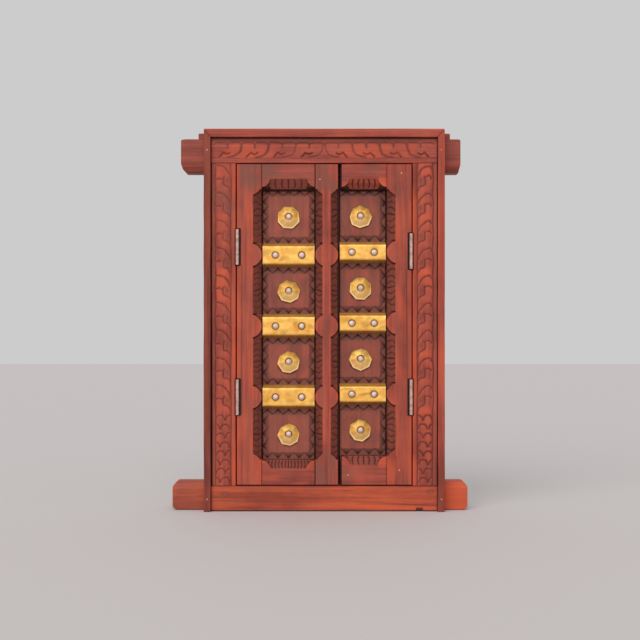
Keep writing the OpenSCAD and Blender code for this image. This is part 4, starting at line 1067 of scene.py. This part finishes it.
# Nails, screws, brads and hinges
# Dome nails, screws and butt hinges of plated steel, and brads and batten nails of iron, all driven
# into the wood. They stay as the CAD drew them.
# Worn plating: the eye sees a pinkish silver with blotches of 6 mm, and duller heads of iron.
STEEL_BLOTCH = 6.0
nail_steel = blotched_metal("plated_steel_nails", "#EBD3CF", "#D2B8B2", STEEL_BLOTCH, 3.0, 0.35, 0.7, 0.4)[0]
hinge_steel = blotched_metal("plated_steel_hinges", "#D2B0A4", "#AA8A80", STEEL_BLOTCH, 3.0, 0.35, 0.45)[0]
dull_iron = blotched_metal("dull_iron_heads", "#D69C8E", "#B47C70", STEEL_BLOTCH, 3.0, 0.35, 0.6, 0.3)[0]
for name, cad_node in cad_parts.items():
    if "strap_nails" in name or "rosette_nails" in name:
        stays(cad_node, nail_steel)
    elif "brads" in name or "batten_nails" in name:
        stays(cad_node, dull_iron)
    elif any(word in name for word in ("flap", "pin", "screws")):
        stays(cad_node, hinge_steel)

# Stage, light and camera
# A plain pale floor and backdrop colour, one broad soft light from the front and above, light from
# all round, and a level camera straight in front of the window.
FLOOR_REACH = 6.0
AROUND = 0.55
KEY_HEADING = (0.3, 1.0, -0.75)
KEY_SPREAD = 60
KEY_STRENGTH = 2.08
PHOTO_W = 0.9037
DISTANCE = 1.8
EYE_H = 0.2704
SENSOR_W = 36
scene = bpy.context.scene
stage_paint, _, shader = new_material("pale_stage")
wire(shader, {"Base Color": linear("#C9C3C2"), "Roughness": 0.8})
floor_mesh = bpy.data.meshes.new("floor")
corners = [(FLOOR_REACH * x, FLOOR_REACH * y, 0) for x, y in ((-1, -1), (1, -1), (1, 1), (-1, 1))]
floor_mesh.from_pydata(corners, [], [(0, 1, 2, 3)])
floor_mesh.materials.append(stage_paint)
floor = bpy.data.objects.new("floor", floor_mesh)
scene.collection.objects.link(floor)

world = bpy.data.worlds.new("studio")
scene.world = world
world.use_nodes = True
tree = world.node_tree
around = tree.nodes["Background"]
wire(around, {"Color": linear("#FFFFFF"), "Strength": AROUND})
backdrop = node(tree, "ShaderNodeBackground", {"Color": linear("#CCCCCC"), "Strength": 1.0})
ray = node(tree, "ShaderNodeLightPath").outputs
seen = ray["Is Camera Ray"]
for other in ("Is Glossy Ray", "Is Transmission Ray"):
    seen = node(tree, "ShaderNodeMath", {0: seen, 1: ray[other]}, operation="MAXIMUM").outputs[0]
mixed = node(tree, "ShaderNodeMixShader",
             {0: seen, 1: around.outputs["Background"], 2: backdrop.outputs["Background"]})
wire(tree.nodes["World Output"], {"Surface": mixed.outputs["Shader"]})

lamp = bpy.data.lights.new("key", "SUN")
lamp.angle = np.radians(KEY_SPREAD)
lamp.energy = KEY_STRENGTH
key = bpy.data.objects.new("key", lamp)
key.rotation_euler = Vector(KEY_HEADING).to_track_quat("-Z", "Y").to_euler()
scene.collection.objects.link(key)

optics = bpy.data.cameras.new("camera")
optics.sensor_width = SENSOR_W
optics.lens = SENSOR_W * DISTANCE / PHOTO_W
camera = bpy.data.objects.new("camera", optics)
camera.location = (0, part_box("left_hinge_stile")[0][1] - DISTANCE, EYE_H)
camera.rotation_euler = (np.pi / 2, 0, 0)
scene.collection.objects.link(camera)
bpy.context.scene.camera = camera
bpy.context.scene.view_settings.view_transform = "Standard"
